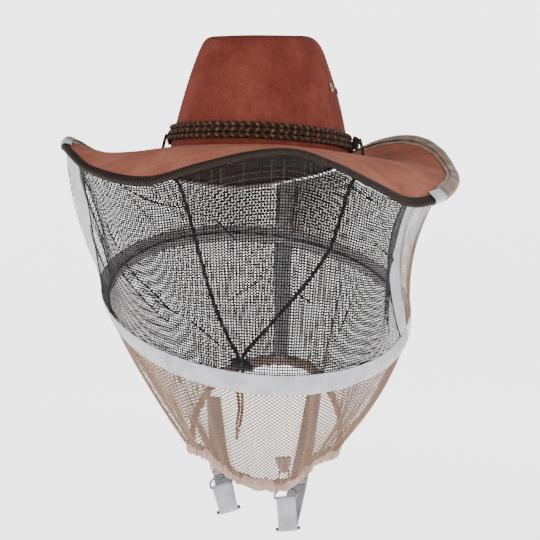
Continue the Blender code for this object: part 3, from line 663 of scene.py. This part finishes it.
def smooth_route(points, spacing):
    """Points a spacing apart on a smooth curve through the route's own points."""
    points = [np.asarray(p, float) for p in points]
    ends = [points[0] * 2 - points[1]] + points + [points[-1] * 2 - points[-2]]
    fine = []
    for k in range(1, len(ends) - 2):
        before, start, stop, after = ends[k - 1:k + 3]
        count = max(2, round(np.linalg.norm(stop - start) / spacing))
        for t in np.arange(count) / count:
            fine.append(0.5 * (2 * start + (stop - before) * t
                               + (2 * before - 5 * start + 4 * stop - after) * t ** 2
                               + (3 * start - before - 3 * stop + after) * t ** 3))
    return np.array(fine + [points[-1]])


# ---- crown and brim -----------------------------------------------------------------------
FINE_TURN = np.arange(0, 360, 2.0)


def make_crown():
    rows = smooth_route([(h, s, 0) for h, s in CROWN_ROWS], 2.5)[:, :2]
    heading, height = mesh_of(FINE_TURN, rows[:, 0] * MM)
    inward = np.clip(rows[:, 1], 0, 0.995)[None, :]
    fall = CROWN_FALL[0] + CROWN_FALL[1] * (1 - inward) * np.cos(np.radians(heading)) ** 2
    height = height - fall * (height / CROWN_HEIGHT) ** 3
    points = crown_side(heading, height)
    points[..., :2] *= (1 - inward)[..., None]
    # faint dimples where hands have shaped the felt
    ripple = 0.5 * MM * np.sin(np.radians(3 * heading + 900 * height)) * np.sin(50 * height)
    points += direction(heading) * ripple[..., None]
    crown = cloth_piece("crown_felt", points, CROWN_FELT, CROWN_THICKNESS, closed_u=True)
    settle(crown, ["crown_shell"])


def ring_section(heading, section):
    """Points of a section of (inset, offset) pairs, all along the brim's edge."""
    inset, offset = np.array(section, float).T
    u, i = mesh_of(heading, inset)
    _, o = mesh_of(heading, offset)
    return on_brim(u, i, o)


def make_brim():
    heading = FINE_TURN[:, None]
    start = crown_reach(heading, 0) + 0.3 * MM
    share = np.linspace(0, 1, 26)[None, :]
    inset = (BRIM_RADIUS - start) * (1 - share)
    wide = np.broadcast_to(heading, inset.shape)
    half = np.full(inset.shape, BRIM_THICKNESS / 2)
    top, under = on_brim(wide, inset, half), on_brim(wide, inset, -half)
    points = np.concatenate((top, under[:, ::-1]), 1)
    rows = inset.shape[1]
    # the top in the brim's felt, the underside in the same felt darkened with painted shade
    brim = grid_piece("brim_felt", points, [BRIM_FELT, SHADED_UNDER_FELT], closed_u=True, closed_v=True,
                      look_of_row=[0] * (rows - 1) + [1] * (rows + 1))
    settle(brim, ["brim"])


def wrap_section(flaps, inner, outer):
    """A C round the brim's edge, as rounded as a sewn fold."""
    top, bottom = flaps
    nose = BRIM_THICKNESS / 2

    def side(offset):
        turn = np.linspace(90, -90, 9)
        reach = offset - nose
        bend = [(nose - (nose + reach) * math.cos(math.radians(a)) * 0.75,
                 offset * math.sin(math.radians(a))) for a in turn]
        return [(top, offset)] + bend + [(bottom, -offset)]

    return side(inner) + side(outer)[::-1]


BRAID_FLAPS = (6 * MM, 6 * MM)      # how far the wraps reach in, above and below the brim
NET_FLAPS = (8 * MM, 9 * MM)


def make_brim_edge():
    inner = BRIM_THICKNESS / 2 + 0.4 * MM
    cover = inner + 1.8 * MM
    heading = np.arange(0, 360, 0.5)
    section = wrap_section(BRAID_FLAPS, inner, inner + MM)
    points = ring_section(heading, section)
    # the braid's crossing plies stand a little proud
    ply = np.arange(len(section)) * 0.55
    u = heading[:, None] * 2.6
    relief = 0.22 * MM * np.abs(np.sin(u + ply)) * np.abs(np.sin(u - ply))
    relief[:, :len(section) // 2] = 0
    points += lifted_normals(points) * relief[..., None]
    binding = grid_piece("brim_binding_braid", points, [BRAID], closed_u=True, closed_v=True)
    settle(binding, ["brim_binding"])

    fold = wrap_section(NET_FLAPS, cover, cover + 0.8 * MM)
    span = (BRIM_TAPE_RIGHT[1] + SEAM, 360 + BRIM_TAPE_LEFT[0] - SEAM)
    along = np.linspace(*span, 560)
    points = ring_section(along, fold)
    pucker = 0.45 * MM * np.sin(along * 4.1)[:, None] * np.sin(along * 0.37 + 1)[:, None]
    points += lifted_normals(points) * np.broadcast_to(pucker, points.shape[:2])[..., None]
    casing = grid_piece("brim_net_fold", points, [FOLD_CLOTH], closed_v=True, caps=True)
    settle(casing, ["brim_net_casing"])
    for side, span in (("left", BRIM_TAPE_LEFT), ("right", BRIM_TAPE_RIGHT)):
        points = ring_section(np.linspace(*span, 24), fold)
        patch = grid_piece(f"brim_tape_{side}_woven", points, [TAPE], closed_v=True, caps=True)
        settle(patch, [f"brim_tape_{side}"])


def lifted_normals(points):
    """Unit normals of a closed strip of sections, pointing out of each section."""
    along = np.roll(points, -1, 0) - np.roll(points, 1, 0)
    round_it = np.roll(points, -1, 1) - np.roll(points, 1, 1)
    return unit(np.cross(round_it, along))


# ---- rope band ----------------------------------------------------------------------------
STRAND_SHARE = 0.52                 # a strand's radius over its rope's
BAND_LOW = 10.2                     # millimetres from the brim to the lowest rope's middle
BAND_STEP = 5.4                     # and from each rope to the next
BAND_TURNS = 90
KNOT_TURNS = 4.5
KNOT_HALF_HEIGHT = 5.6 * MM


def twisted(name, line, hint, radius, turns, looks, replaced, closed=False):
    """Three strands twisted round a line."""
    strand_radius = radius * STRAND_SHARE
    share = np.arange(len(line)) / (len(line) if closed else len(line) - 1)
    a, b = square_to(line, hint, closed)
    for k, look in enumerate(looks):
        angle = math.tau * (turns * share + k / len(looks))
        path = line + (radius - strand_radius) * (a * np.cos(angle)[:, None]
                                                  + b * np.sin(angle)[:, None])
        points = tube_points(path, a, np.full(len(path), strand_radius), 8, closed)
        strand = grid_piece(f"{name}_strand_{k + 1}", points, [look], closed_u=closed,
                            closed_v=True, caps=not closed)
        settle(strand, replaced if k == 0 else ())


def make_hat_band():
    heading = np.arange(0, 360, 0.45)
    for strand, name in enumerate(("lower", "middle", "upper")):
        height = (BAND_LOW + BAND_STEP * strand) * MM + 4 * MM * bell(heading, -90, 45)
        reach = crown_reach(heading, height) + ROPE_RADIUS + 0.4 * MM
        line = raised(direction(heading) * reach[:, None], height)
        # the middle rope is laid the other way
        looks, turns = (ROPE_DARK, ROPE_DARK, ROPE_PALE), BAND_TURNS
        if name == "middle":
            looks, turns = (ROPE_DARK, ROPE_PALE, ROPE_DARK), -BAND_TURNS
        twisted(f"rope_{name}", line, direction(heading), ROPE_RADIUS * 1.04, turns, looks,
                [f"band_rope_{name}"], closed=True)
    for side, at, level in (("left", -90, 17 * MM), ("right", 90, 14 * MM)):
        outward = direction(np.array(float(at)))
        reach = float(crown_reach(np.array(float(at)), level)) + 2 * ROPE_RADIUS + 5.2 * MM
        up = np.array((0, 0, 1.0))
        # the knot is a rope wound round itself
        t = np.linspace(0, 1, 160)
        angle = math.tau * KNOT_TURNS * t
        swell = 2.4 * MM * np.sin(np.pi * (0.12 + 0.76 * t)) ** 0.7
        sideways = np.cross(outward, up)
        coil = (outward * reach + outward * (swell * np.cos(angle))[:, None]
                + sideways * (swell * np.sin(angle))[:, None]
                + up * (level + (2 * t - 1) * KNOT_HALF_HEIGHT)[:, None])
        knot = tube_piece(f"rope_knot_{side}", coil, 1.5 * MM, ROPE_DARK, up, 8)
        settle(knot, [f"band_knot_{side}"])
        hole = brim_surface(np.array(float(at)), np.array(CORD_HOLE_REACH))
        tail = smooth_route([outward * (reach + 4.2 * MM) + up * (level + 4 * MM),
                             outward * (reach + 6 * MM) + up * (level - 2 * MM),
                             hole + up * 7 * MM, hole + up * 4 * MM, hole + up * 0.8 * MM],
                            0.8 * MM)
        twisted(f"rope_tail_{side}", tail, np.broadcast_to(sideways, tail.shape), 1.8 * MM, 3,
                (ROPE_DARK, ROPE_DARK, ROPE_PALE), [f"rope_tail_{side}"])


# ---- chin cord ----------------------------------------------------------------------------
CHIN_CORD_LEFT = (
    (-104, -7), (-101.5, -13), (-95, -20), (-84.5, -30), (-77, -49), (-70.5, -68),
    (-59, -104), (-45, -145), (-28, -181), (-18.5, -196))
CHIN_CORD_RIGHT = (
    (104, -7), (102.5, -12), (97.5, -19), (91.5, -31), (86, -52), (75, -88),
    (61, -112), (45.5, -133), (24, -159), (4, -182), (-7, -195))
CORD_SWELLS = (0.009, 0.018)        # heights over the lock where the braid fills out
CORD_TAIL = ((-13, -236), (-12, -244), (-11.4, -253), (-12.2, -262), (-13.4, -270))


def make_lock_spring():
    """The coil between the lock's blind end and its button, which squeezes it going in."""
    lean = Matrix.Translation(LOCK_CENTRE) @ Matrix.Rotation(math.radians(LOCK_TILT), 4, "Y")
    along = lean @ Matrix.Rotation(math.radians(90), 4, "Y")
    share = np.linspace(0, 1, 150)
    wind = math.tau * SPRING_TURNS * share
    depth = SPRING_DEPTH[0] + (SPRING_DEPTH[1] - SPRING_DEPTH[0]) * share
    coil = moved(np.stack((SPRING_RADIUS * np.cos(wind), SPRING_RADIUS * np.sin(wind), depth),
                          -1), along)
    spring = tube_piece("cord_lock_coil", coil, 0.3 * MM, GUNMETAL, (0, 0, 1), 10)
    settle(spring, ["cord_lock_spring"], None)
    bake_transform(spring)
    return spring


def make_chin_cord():
    cords = {}
    for side, route, sign in (("left", CHIN_CORD_LEFT, -1), ("right", CHIN_CORD_RIGHT, 1)):
        hole = brim_surface(np.array(90.0 * sign), np.array(CORD_HOLE_REACH))
        points = [hole + (0, 0, 0.2 * MM), hole + (0, 0, -3 * MM)]
        points += [np.array((x, 0, z)) * MM for x, z in route]
        beside = LOCK_CENTRE + (sign * CORD_SPACING, 0, 0)
        points += [beside + (0, 0, dz * MM) for dz in (8, 2, -9, -18)]
        for (x, z), closer in zip(CORD_TAIL, (0.95, 0.8, 0.7, 0.7, 0.7)):
            points.append(np.array((x * MM + sign * CORD_SPACING * closer, 0, z * MM)))
        line = smooth_route(points, 2 * MM)
        radius = np.interp(line[:, 2], LOCK_CENTRE[2] + np.array(CORD_SWELLS),
                           (CORD_RADIUS, CORD_FULL))
        cord = tube_piece(f"chin_cord_{side}_braid", line, radius, CORD_BRAID)
        settle(cord, [f"chin_cord_{side}"])
        cords[side] = (cord, line)
    x, z = CORD_TAIL[-1]
    share = np.linspace(0, 1, 90)
    middle = np.array((x, 0, z - 0.35)) * MM + share[:, None] * np.array((-0.9, 0, -15)) * MM
    wind = math.tau * 3.2 * share
    swell = 1.7 * MM * np.clip(1.3 - share, 0.15, 1)
    coil = middle + np.stack((swell * np.cos(wind), swell * np.sin(wind), 0 * wind), -1)
    knot = tube_piece("cord_tail_knot_wound", coil, 1.5 * MM * np.linspace(1, 0.6, 90),
                      CORD_BRAID, (0, 0, 1), 10)
    settle(knot, ["cord_tail_knot"])
    lock = [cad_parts[n] for n in ("cord_lock_body", "cord_lock_plunger")]
    lock.append(make_lock_spring())
    for side, (cord, line) in cords.items():
        float(lengths_along(line)[-1])


# ---- nets ---------------------------------------------------------------------------------
WINDOW_FOLDS = millimetres(2, (                    # (heading, v) of both ends, height, half width
    ((-26, 0.0), (-6, 0.16), 4.5, 3), ((-36, 0.3), (-30, 0.46), 3.5, 3),
    ((-34, 0.55), (-14, 0.8), 4.5, 3), ((-29, 0.52), (-10, 0.74), 3, 2.5),
    ((-22, 0.65), (-6, 0.76), 4, 3), ((-6, 0.76), (6, 0.9), 3.5, 3),
    ((3, 0.24), (9, 0.36), 3.5, 3), ((6, 0.66), (17, 0.54), 4.5, 3),
    ((26, 0.6), (33, 0.65), 3, 2.5), ((52, 0.28), (66, 0.4), 3.5, 3),
    ((40, 0.03), (52, 0.06), 3, 3), ((42, 0.5), (38, 0.95), 4, 3.5),
    ((48, 0.5), (42, 0.85), 3, 3), ((-58, 0.12), (-48, 0.42), 3, 4),
    ((-62, 0.5), (-50, 0.72), 3, 4), ((66, 0.55), (72, 0.9), 3, 4)))
BACK_FOLDS = millimetres(2, (
    ((120, 0.1), (150, 0.7), 3.5, 5), ((160, 0.2), (140, 0.8), 3, 5),
    ((205, 0.15), (225, 0.75), 3.5, 5), ((250, 0.2), (238, 0.8), 3, 5),
    ((268, 0.1), (276, 0.7), 3, 4), ((100, 0.2), (94, 0.8), 3, 4)))
WALL_MM_PER_DEGREE = 3
WALL_MM_PER_SHARE = 180


def fold_height(heading, v, folds):
    """How far pinched folds lift the cloth, each along its own short line."""
    x, y = heading * WALL_MM_PER_DEGREE * MM, v * WALL_MM_PER_SHARE * MM
    total = np.zeros_like(x)
    for (h0, v0), (h1, v1), height, width in folds:
        x0, y0 = h0 * WALL_MM_PER_DEGREE * MM, v0 * WALL_MM_PER_SHARE * MM
        dx, dy = h1 * WALL_MM_PER_DEGREE * MM - x0, v1 * WALL_MM_PER_SHARE * MM - y0
        length = math.hypot(dx, dy)
        along = ((x - x0) * dx + (y - y0) * dy) / length ** 2
        off = ((x - x0) * dy - (y - y0) * dx) / length
        fade = np.clip(np.sin(np.pi * np.clip((along + 0.15) / 1.3, 0, 1)), 0, 1)
        total += height * fade * (np.exp(-(off / width) ** 2)
                                  - 0.6 * np.exp(-((off - 2 * width) / (1.5 * width)) ** 2))
    return total


WALL_EASE = (                       # heading, how far the sewn cloth stands out there, width
    (-50, -11 * MM, 14), (-78, 5 * MM, 4.5), (91.5, 5 * MM, 4.5), (73, -5 * MM, 7))


def wall_cloth(folds, slack):
    """The wall with its folds and a slight billow; v is 0 at the brim and 1 at the tape."""
    def surface(heading, v):
        reach = v * wall_share(heading, TAPE_WIDTH / 2 - 1 * MM)
        billow = slack * np.sin(np.radians(heading * 5.3 + 40)) * np.sin(np.pi * np.clip(v, 0, 1))
        calm = np.clip(np.sin(np.pi * np.clip(v, 0.02, 0.98)) * 3, 0, 1)
        lift = billow + fold_height(heading, v, folds) * calm
        taut = np.sin(np.pi * np.clip(v, 0, 1)) ** 0.6
        for middle, height, width in WALL_EASE:
            lift = lift + height * bell(heading, middle, width) * taut
        return wall_surface(heading, reach) + direction(heading) * lift[..., None]
    return surface


SKIRT_FOLDS = (                     # heading, width in degrees, height at the hem
    (31, 2.4, 9 * MM), (-38, 3, 8 * MM), (-55, 3, 7 * MM), (8, 2.6, 6 * MM), (52, 3, 7 * MM),
    (70, 3.5, 7 * MM), (-15, 3, 5 * MM), (110, 4, 6 * MM), (140, 4, 6 * MM), (165, 4, 5 * MM),
    (210, 4, 6 * MM), (235, 4, 6 * MM), (262, 4, 6 * MM))


def skirt_cloth(heading, v):
    """The skirt, smooth at the hoop and gathered into pleats towards the hem."""
    start = skirt_share(heading, TAPE_WIDTH / 2 - 1 * MM)
    length = np.linalg.norm(hem_point(heading) - ring_point(heading), axis=-1)
    share = start + (1 - 3 * MM / length - start) * v
    gather = np.clip(v, 0, 1) ** 1.6
    pleats = 1.6 * MM * np.sin(np.radians(heading * 34)) * gather
    pleats += 2.4 * MM * np.sin(np.radians(heading * 13 + 60 * v)) * gather
    for middle, width, height in SKIRT_FOLDS:
        ridge = height * bell(heading, middle - 5 * v, width)
        pleats += ridge * np.clip(v, 0, 1) ** 0.8 * (1 - 0.5 * v)
    pleats -= 2 * MM * gather
    return skirt_surface(heading, share) + direction(heading) * pleats[..., None]


def cloth_area(points):
    a = np.cross(points[1:, :-1] - points[:-1, :-1], points[:-1, 1:] - points[:-1, :-1])
    b = np.cross(points[1:, 1:] - points[1:, :-1], points[1:, 1:] - points[:-1, 1:])
    return float(np.linalg.norm(a, axis=-1).sum() + np.linalg.norm(b, axis=-1).sum()) / 2


def crease_threads(surface, folds):
    """Threads bunched along the lip of each fold, closing up towards both ends."""
    share = np.linspace(0, 1, 26)
    lines, hints = [], []
    for (h0, v0), (h1, v1), _, _ in folds:
        for lane in (-1, 0, 1, 0.5):
            apart = 0.13 * lane * np.sin(np.pi * share)
            line = surface(h0 + (h1 - h0) * share + apart, v0 + (v1 - v0) * share - apart * 0.012)
            out = direction(h0 + (h1 - h0) * share)
            lines.append(line + out * (0.5 * MM + abs(lane) * 0.3 * MM))
            hints.append(out)
    return np.array(lines), np.array(hints)


def thread_width(heading, width):
    """Thread widths, finer where the cloth is stretched beside the upright tapes."""
    return width * (1 - 0.4 * np.clip(bell(heading, -60, 13) + bell(heading, 76, 10), 0, 1))


BLACK_PITCH = 2.6 * MM
BLACK_WIDTH = 1.05 * MM
BROWN_HOLE = 4.2 * MM               # a hexagon's width
BROWN_PERIOD = 3.6 * MM             # the height in which its rows repeat
BROWN_WIDTH = 1.0 * MM
CREASE_WIDTH = 0.7 * MM


def net_piece(name, node, surface, span, pattern, width, looks,
              creases=()):
    """A net of real threads over a surface."""
    middle = surface(np.linspace(*span, 60), np.full(60, 0.5))
    side = surface(np.full(40, sum(span) / 2), np.linspace(0, 1, 40))
    wide, high = lengths_along(middle)[-1], lengths_along(side)[-1]
    if pattern == "square":
        count, rows = round(wide / BLACK_PITCH), round(high / BLACK_PITCH)
        heading, v = mesh_of(np.linspace(*span, count + 1), np.linspace(0, 1, rows + 1))
    else:
        count, rows = round(wide / (BROWN_HOLE / 2)), 4 * round(high / BROWN_PERIOD)
        level = np.cumsum([0] + [(0.17, 0.33)[k % 2] for k in range(rows)])
        heading, v = mesh_of(np.linspace(*span, count + 1), level / level[-1])
        i, j = mesh_of(np.arange(count + 1), np.arange(rows + 1))
        swing = np.where(j % 4 < 2, -1, 1) * np.where(i % 2 == 0, 1, -1)
        step = (span[1] - span[0]) / count
        heading = np.clip(heading + swing * step * 0.43, *span)
    points = surface(heading, v)
    hints = unit(np.cross(np.gradient(points, axis=1), np.gradient(points, axis=0)))
    if pattern == "square":
        i, j = mesh_of(np.arange(points.shape[0]), np.arange(points.shape[1]))
        over = hints * (0.15 * MM * np.where((i + j) % 2, 1, -1))[..., None]
        widths = thread_width(heading, width)
        bundles = [(points + over, hints, widths),
                   ((points - over).transpose(1, 0, 2), hints.transpose(1, 0, 2), widths.T)]
    else:
        bundles = [(points, direction(heading), np.full(heading.shape, width))]
    if creases:
        lines, hints = crease_threads(surface, creases)
        bundles.append((lines, hints, np.full(lines.shape[:2], CREASE_WIDTH)))
    net = thread_piece(name, bundles, looks)
    settle(net, [node])
    area = cloth_area(points if pattern == "square" else surface(
        *mesh_of(np.linspace(*span, 90), np.linspace(0, 1, 50))))


def make_nets():
    window = wall_cloth(WINDOW_FOLDS, 1.5 * MM)
    back = wall_cloth(BACK_FOLDS, 2.5 * MM)
    net_piece("window_net", "front_window_net", window,
              (LEFT_TAPE[1] - 0.1, RIGHT_TAPE[0] + 0.1), "square", BLACK_WIDTH, BLACK_THREADS,
              WINDOW_FOLDS)
    for name, span in (("right", (RIGHT_TAPE[1] - 0.8, BACK_TAPE[0] + 0.8)),
                       ("left", (BACK_TAPE[1] - 0.8, 360 + LEFT_TAPE[0] + 0.8))):
        net_piece(f"back_net_{name}_mesh", f"back_net_{name}", back, span, "hex",
                  BROWN_WIDTH, BROWN_THREADS)
    for name, span in (("front", (LEFT_TAPE[1], RIGHT_TAPE[0])),
                       ("right", (RIGHT_TAPE[0], BACK_TAPE[0] + 0.8)),
                       ("left", (BACK_TAPE[1] - 0.8, 360 + LEFT_TAPE[1]))):
        net_piece(f"skirt_{name}_mesh", f"skirt_net_{name}", skirt_cloth, span,
                  "hex", BROWN_WIDTH, BROWN_THREADS)


# ---- tapes and hem ------------------------------------------------------------------------
def make_tapes():
    def strip(name, node, surface, span, v_span, count_u, count_v, ripple=0.3 * MM, look=TAPE):
        heading, v = mesh_of(np.linspace(*span, count_u), np.linspace(*v_span, count_v))
        points = surface(heading, v)
        wander = ripple * np.sin(v * 31 + heading * 0.7) * np.sin(heading * 1.9 + 2)
        made = cloth_piece(name, points + direction(heading) * wander[..., None], look, 0.6 * MM)
        settle(made, [node])

    def hoop(heading, v):
        upper = wall_surface(heading, wall_share(heading, -np.minimum(v, 0) * TAPE_WIDTH / 2))
        lower = skirt_surface(heading, skirt_share(heading, np.maximum(v, 0) * TAPE_WIDTH / 2))
        return np.where((v <= 0)[..., None], upper, lower) + direction(heading) * 0.7 * MM

    tape_wall = wall_cloth((), 0)

    def tape_surface(heading, v):
        return tape_wall(heading, v) + direction(heading) * 0.6 * MM

    for side, span in (("left", LEFT_TAPE), ("right", RIGHT_TAPE)):
        strip(f"side_tape_{side}_woven", f"side_tape_{side}", tape_surface, span, (-0.01, 1),
              14, 70)
    # the upper back tape and the back hoop tape take the tape painted lighter, against the net's
    # shade
    strip("back_tape_upper_woven", "back_seam_tape_upper", tape_wall, BACK_TAPE, (0, 1), 12, 50,
          look=BACK_TAPE_PAINTED_LIGHT)
    strip("back_tape_lower_woven", "back_seam_tape_lower", skirt_cloth, BACK_TAPE, (0, 1), 12,
          50)
    strip("hoop_tape_front_woven", "hoop_tape_front", hoop, (LEFT_TAPE[0], RIGHT_TAPE[1]),
          (-1, 1), 300, 11, 0.6 * MM)
    strip("hoop_tape_back_woven", "hoop_tape_back", hoop,
          (RIGHT_TAPE[1] + SEAM, 360 + LEFT_TAPE[0] - SEAM), (-1, 1), 380, 11, 0.6 * MM,
          look=BACK_TAPE_PAINTED_LIGHT)


def make_window_seams():
    """The window net's turned edge, a thin dark roll beside each tape."""
    surface = wall_cloth((), 0)
    v = np.linspace(0.01, 1, 80)
    for name, heading in (("left", LEFT_TAPE[1] + 0.3), ("right", RIGHT_TAPE[0] - 0.3)):
        turn = np.full_like(v, heading)
        line = surface(turn, v) + direction(turn) * 0.6 * MM
        seam = tube_piece(f"window_seam_{name}", line, 0.55 * MM, BLACK_THREADS[0], sides=6)
        settle(seam)
    turn = np.linspace(LEFT_TAPE[1], RIGHT_TAPE[0], 200)
    line = surface(turn, np.full_like(turn, 0.995)) + direction(turn) * 0.9 * MM
    seam = tube_piece("window_seam_low", line, 0.5 * MM, BLACK_THREADS[0], (0, 0, 1), 6)
    settle(seam)


def make_hem():
    """The gathered hem: a thick fold drawn up into small upright pleats."""
    heading = np.arange(0, 360, 0.4)
    section = np.array(((1.0, 6.5), (1.9, 4.5), (2.1, 1), (2.0, -2.6), (1.1, -4.8), (-1.1, -4.8),
                        (-2.0, -2.6), (-2.1, 1), (-1.9, 4.5), (-1.0, 6.5))) * MM
    u, out = mesh_of(heading, section[:, 0])
    _, up = mesh_of(heading, section[:, 1])
    angle = np.radians(heading)[:, None]
    phase = 92 * angle + 2.2 * np.sin(17 * angle) + 1.4 * np.sin(7 * angle + 1)
    pleat = 0.9 * MM * np.sin(phase) + 0.5 * MM * np.sin(39 * angle + 1)
    points = hem_point(u) + direction(u) * (out + pleat * np.sign(out))[..., None]
    up = up + 0.8 * MM * np.sin(phase * 0.5 + 0.7) * (np.abs(up) > 4 * MM)
    hem = grid_piece("hem_ruffle", raised(points, up), [HEM_CLOTH], closed_u=True, closed_v=True)
    settle(hem, ["hem_casing"])


# ---- hooks and straps ---------------------------------------------------------------------
def arc(centre, radius, start, stop, count):
    return [(centre[0] + radius * math.cos(a), centre[1] + radius * math.sin(a))
            for a in np.radians(np.linspace(start, stop, count + 1))]


EYE_TOP = -15.5                     # millimetres from the hook's own origin
EYE_BAR = -25.5
EYE_HALF = 10.4


def moved(points, place):
    return np.array([place @ (Vector(p) * MM) for p in points])


def turned_piece(name, profile, place, look, sides):
    """A closed profile of (radius, height) in millimetres, turned about local Z."""
    rings = [[place @ (Vector((r * math.cos(a), r * math.sin(a), z)) * MM) for r, z in profile]
             for a in math.tau * np.arange(sides) / sides]
    return grid_piece(name, np.array(rings), [look], closed_u=True, closed_v=True)


def webbing_piece(name, middle, across, widths, look, thickness, closed=False):
    """Webbing of varying width along a line."""
    share = np.linspace(-1, 1, 9)
    points = middle[:, None] + across[:, None] * (np.asarray(widths)[:, None, None]
                                                  * share[None, :, None] / 2)
    return cloth_piece(name, points, look, thickness, closed)


def make_hook(side):
    anchor, lean, drop = HOOKS[side]
    level = Matrix.Translation(anchor) @ Matrix.Rotation(math.radians(VIEW_TURN), 4, "Z")
    place = level @ Matrix.Rotation(math.radians(-lean), 4, "Y")
    across = np.array(place.to_3x3() @ Vector((1, 0, 0)))
    facing = np.array(place.to_3x3() @ Vector((0, 1, 0)))

    fold = smooth_route([(0, y, z) for y, z in
                         ((-6.3, 14), (-4, 8), (-2.9, 2.5), (-1.9, 0.2), (0, -0.7), (1.9, 0.2),
                          (2.9, 2.5), (0.4, 8), (-4.3, 14.6))], 0.6)
    widths = np.interp(fold[:, 2], (-0.7, 0.2, 2.5, 8, 14), (5, 5.4, 8, 13, 15)) * MM
    tab = webbing_piece(f"hem_tab_{side}_woven", moved(fold, place),
                        np.broadcast_to(across, fold.shape), widths, WEBBING, 0.8 * MM)
    settle(tab, [f"hem_tab_{side}"])

    def wire(name, line, radius, sides, replaced, body, look=GUNMETAL,
             closed=False):
        piece = tube_piece(name, moved(line, place), radius, look, facing, sides, closed)
        settle(piece, replaced, f"{body}_{side}")

    def turned(name, profile, sides, replaced, body):
        settle(turned_piece(name, profile, place, GUNMETAL, sides), replaced,
               f"{body}_{side}")

    claw = smooth_route([(x, 0, z) for x, z in
                         [(2.4, -10.6), (3.9, -8.4), (4.5, -5.6)]
                         + arc((0, -1.3), 4.5, 0, 180, 10) + [(-4.5, -2.6)]], 0.5)
    wire(f"hook_{side}_claw", claw,
         WIRE_RADIUS * np.interp(claw[:, 2], (-10.6, -5.6, 3.2), (1.1, 1.05, 1)), 14,
         [f"hook_{side}"], "hook")
    turned(f"hook_{side}_barrel",
           ((1.25, -8.6), (2.4, -8.6), (2.75, -9.2), (2.9, -10.5), (2.7, -12.2), (2.4, -13.6),
            (1.25, -13.6)), 28, (), "hook")
    wire(f"hook_{side}_gate_seat", [(-5.5, 0, -10.2), (-3.7, 0, -10.2), (-2.0, 0, -10.2)],
         0.9 * MM, 12, (), "hook")
    gate = smooth_route([(-5.4, 0, -8.3), (-5.2, 0, -6), (-4.7, 0, -3.1)], 0.4)
    wire(f"hook_{side}_gate", gate, 0.8 * MM, 12, [f"hook_gate_{side}"], "gate")

    turned(f"swivel_{side}_pin",
           ((0.01, -7.4), (1.5, -7.4), (1.9, -7.7), (1.9, -8.2), (0.95, -8.2), (0.95, -14.2),
            (0.01, -14.2)), 20, [f"swivel_pin_{side}"], "eye")
    corner = arc((EYE_HALF - 2.5, EYE_BAR + 2.5), 2.5, -90, 0, 6)
    bow = [(EYE_HALF * math.cos(a), -22 + (EYE_TOP + 22) * math.sin(a))
           for a in np.radians(np.linspace(8, 172, 30))]
    outline = corner + bow + [(-x, z) for x, z in reversed(corner)]
    wire(f"swivel_{side}_eye", [(x, 0, z) for x, z in outline], WIRE_RADIUS, 14,
         [f"swivel_eye_{side}"], "eye", closed=True)

    half_gap, bottom = 2.1, EYE_BAR - drop / MM
    straight = np.linspace(0, 1, 14)[1:-1]
    loop = arc((0, EYE_BAR), half_gap, 0, 180, 12)
    loop += [(-half_gap - 0.25 * math.sin(9 * t), EYE_BAR + (bottom - EYE_BAR) * t)
             for t in straight]
    loop += arc((0, bottom), half_gap, 180, 360, 12)
    loop += [(half_gap, bottom + (EYE_BAR - bottom) * t) for t in straight]
    middle = moved([(0, y, z) for y, z in loop], place)
    strap = webbing_piece(f"strap_{side}_loop", middle, np.broadcast_to(across, middle.shape),
                          np.full(len(middle), WEBBING_WIDTH), WEBBING, WEBBING_THICKNESS, True)
    settle(strap, [f"strap_front_{side}"], f"eye_{side}")

    end = WEBBING_WIDTH / 2 / MM + 2.5
    bar = [(x, 0, bottom) for x in np.linspace(-end, end, 40)]
    swell = 1 + 0.45 * (np.abs(np.linspace(-1, 1, 40)) > 0.84)
    wire(f"slider_{side}_bar", bar, 1.15 * MM * swell, 14, [f"slider_{side}"], "slider",
         PLASTIC)
    make_strap_back(side, level, place, bottom)


STRAP_ROWS = 40
STRAP_SPLIT = 14                    # the row where the strap's two parts meet
STRAP_SAG = 12 * MM


def make_strap_back(side, level, place, bottom):
    """The webbing from behind the slider, under the arm, to the back of the hem."""
    start = np.array(place @ (Vector((0, 5, bottom + 1)) * MM))
    stop = np.array(STRAP_ENDS[side])
    across = level.to_3x3() @ Vector((1, 0, 0))
    t = np.linspace(0, 1, STRAP_ROWS)
    middle = start + (stop - start) * t[:, None]
    middle[:, 2] -= STRAP_SAG * np.sin(np.pi * t)
    sign = -1 if side == "left" else 1
    sides = np.array([Matrix.Rotation(math.radians(30 * s * sign), 3, "Z") @ across for s in t])
    # the webbing in two parts, a near and a far, which meet at the split row
    for part, rows, bodies, bend, replaced in (
            ("near", slice(0, STRAP_SPLIT + 1), ("eye", "hook"), (2, STRAP_SPLIT - 1),
             [f"strap_back_{side}"]),
            ("far", slice(STRAP_SPLIT, STRAP_ROWS), ("hook", "root"), (STRAP_SPLIT + 1, 34),
             ())):
        strap = webbing_piece(f"strap_{side}_{part}", middle[rows], sides[rows],
                              np.full(len(middle[rows]), WEBBING_WIDTH), WEBBING,
                              WEBBING_THICKNESS)
        settle(strap, replaced, None)
        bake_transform(strap)


# ---- carried-over frame pieces ------------------------------------------------------------
CARRIED = {
    "sweatband": LEATHERETTE, "brim_elastic": ELASTIC, "hem_elastic": ELASTIC,
    "hoop_wire": GUNMETAL, "cord_lock_body": PLASTIC, "cord_lock_plunger": PLASTIC,
    **{f"{place}_{side}": BRASS for side in ("left", "right")
       for place in ("brim_eyelet", "crown_eyelet_front", "crown_eyelet_back")}}


def finish_carried():
    """Looks for the frame's own solids that stay in sight."""
    for node, look in CARRIED.items():
        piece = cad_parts[node]
        piece.data.materials.clear()
        piece.data.materials.append(look)


make_camera()
make_chin_cord()
make_studio()
make_crown()
make_brim()
make_brim_edge()
make_hat_band()
make_tapes()
make_window_seams()
make_hem()
make_nets()
for hook_side in HOOKS:
    make_hook(hook_side)
finish_carried()
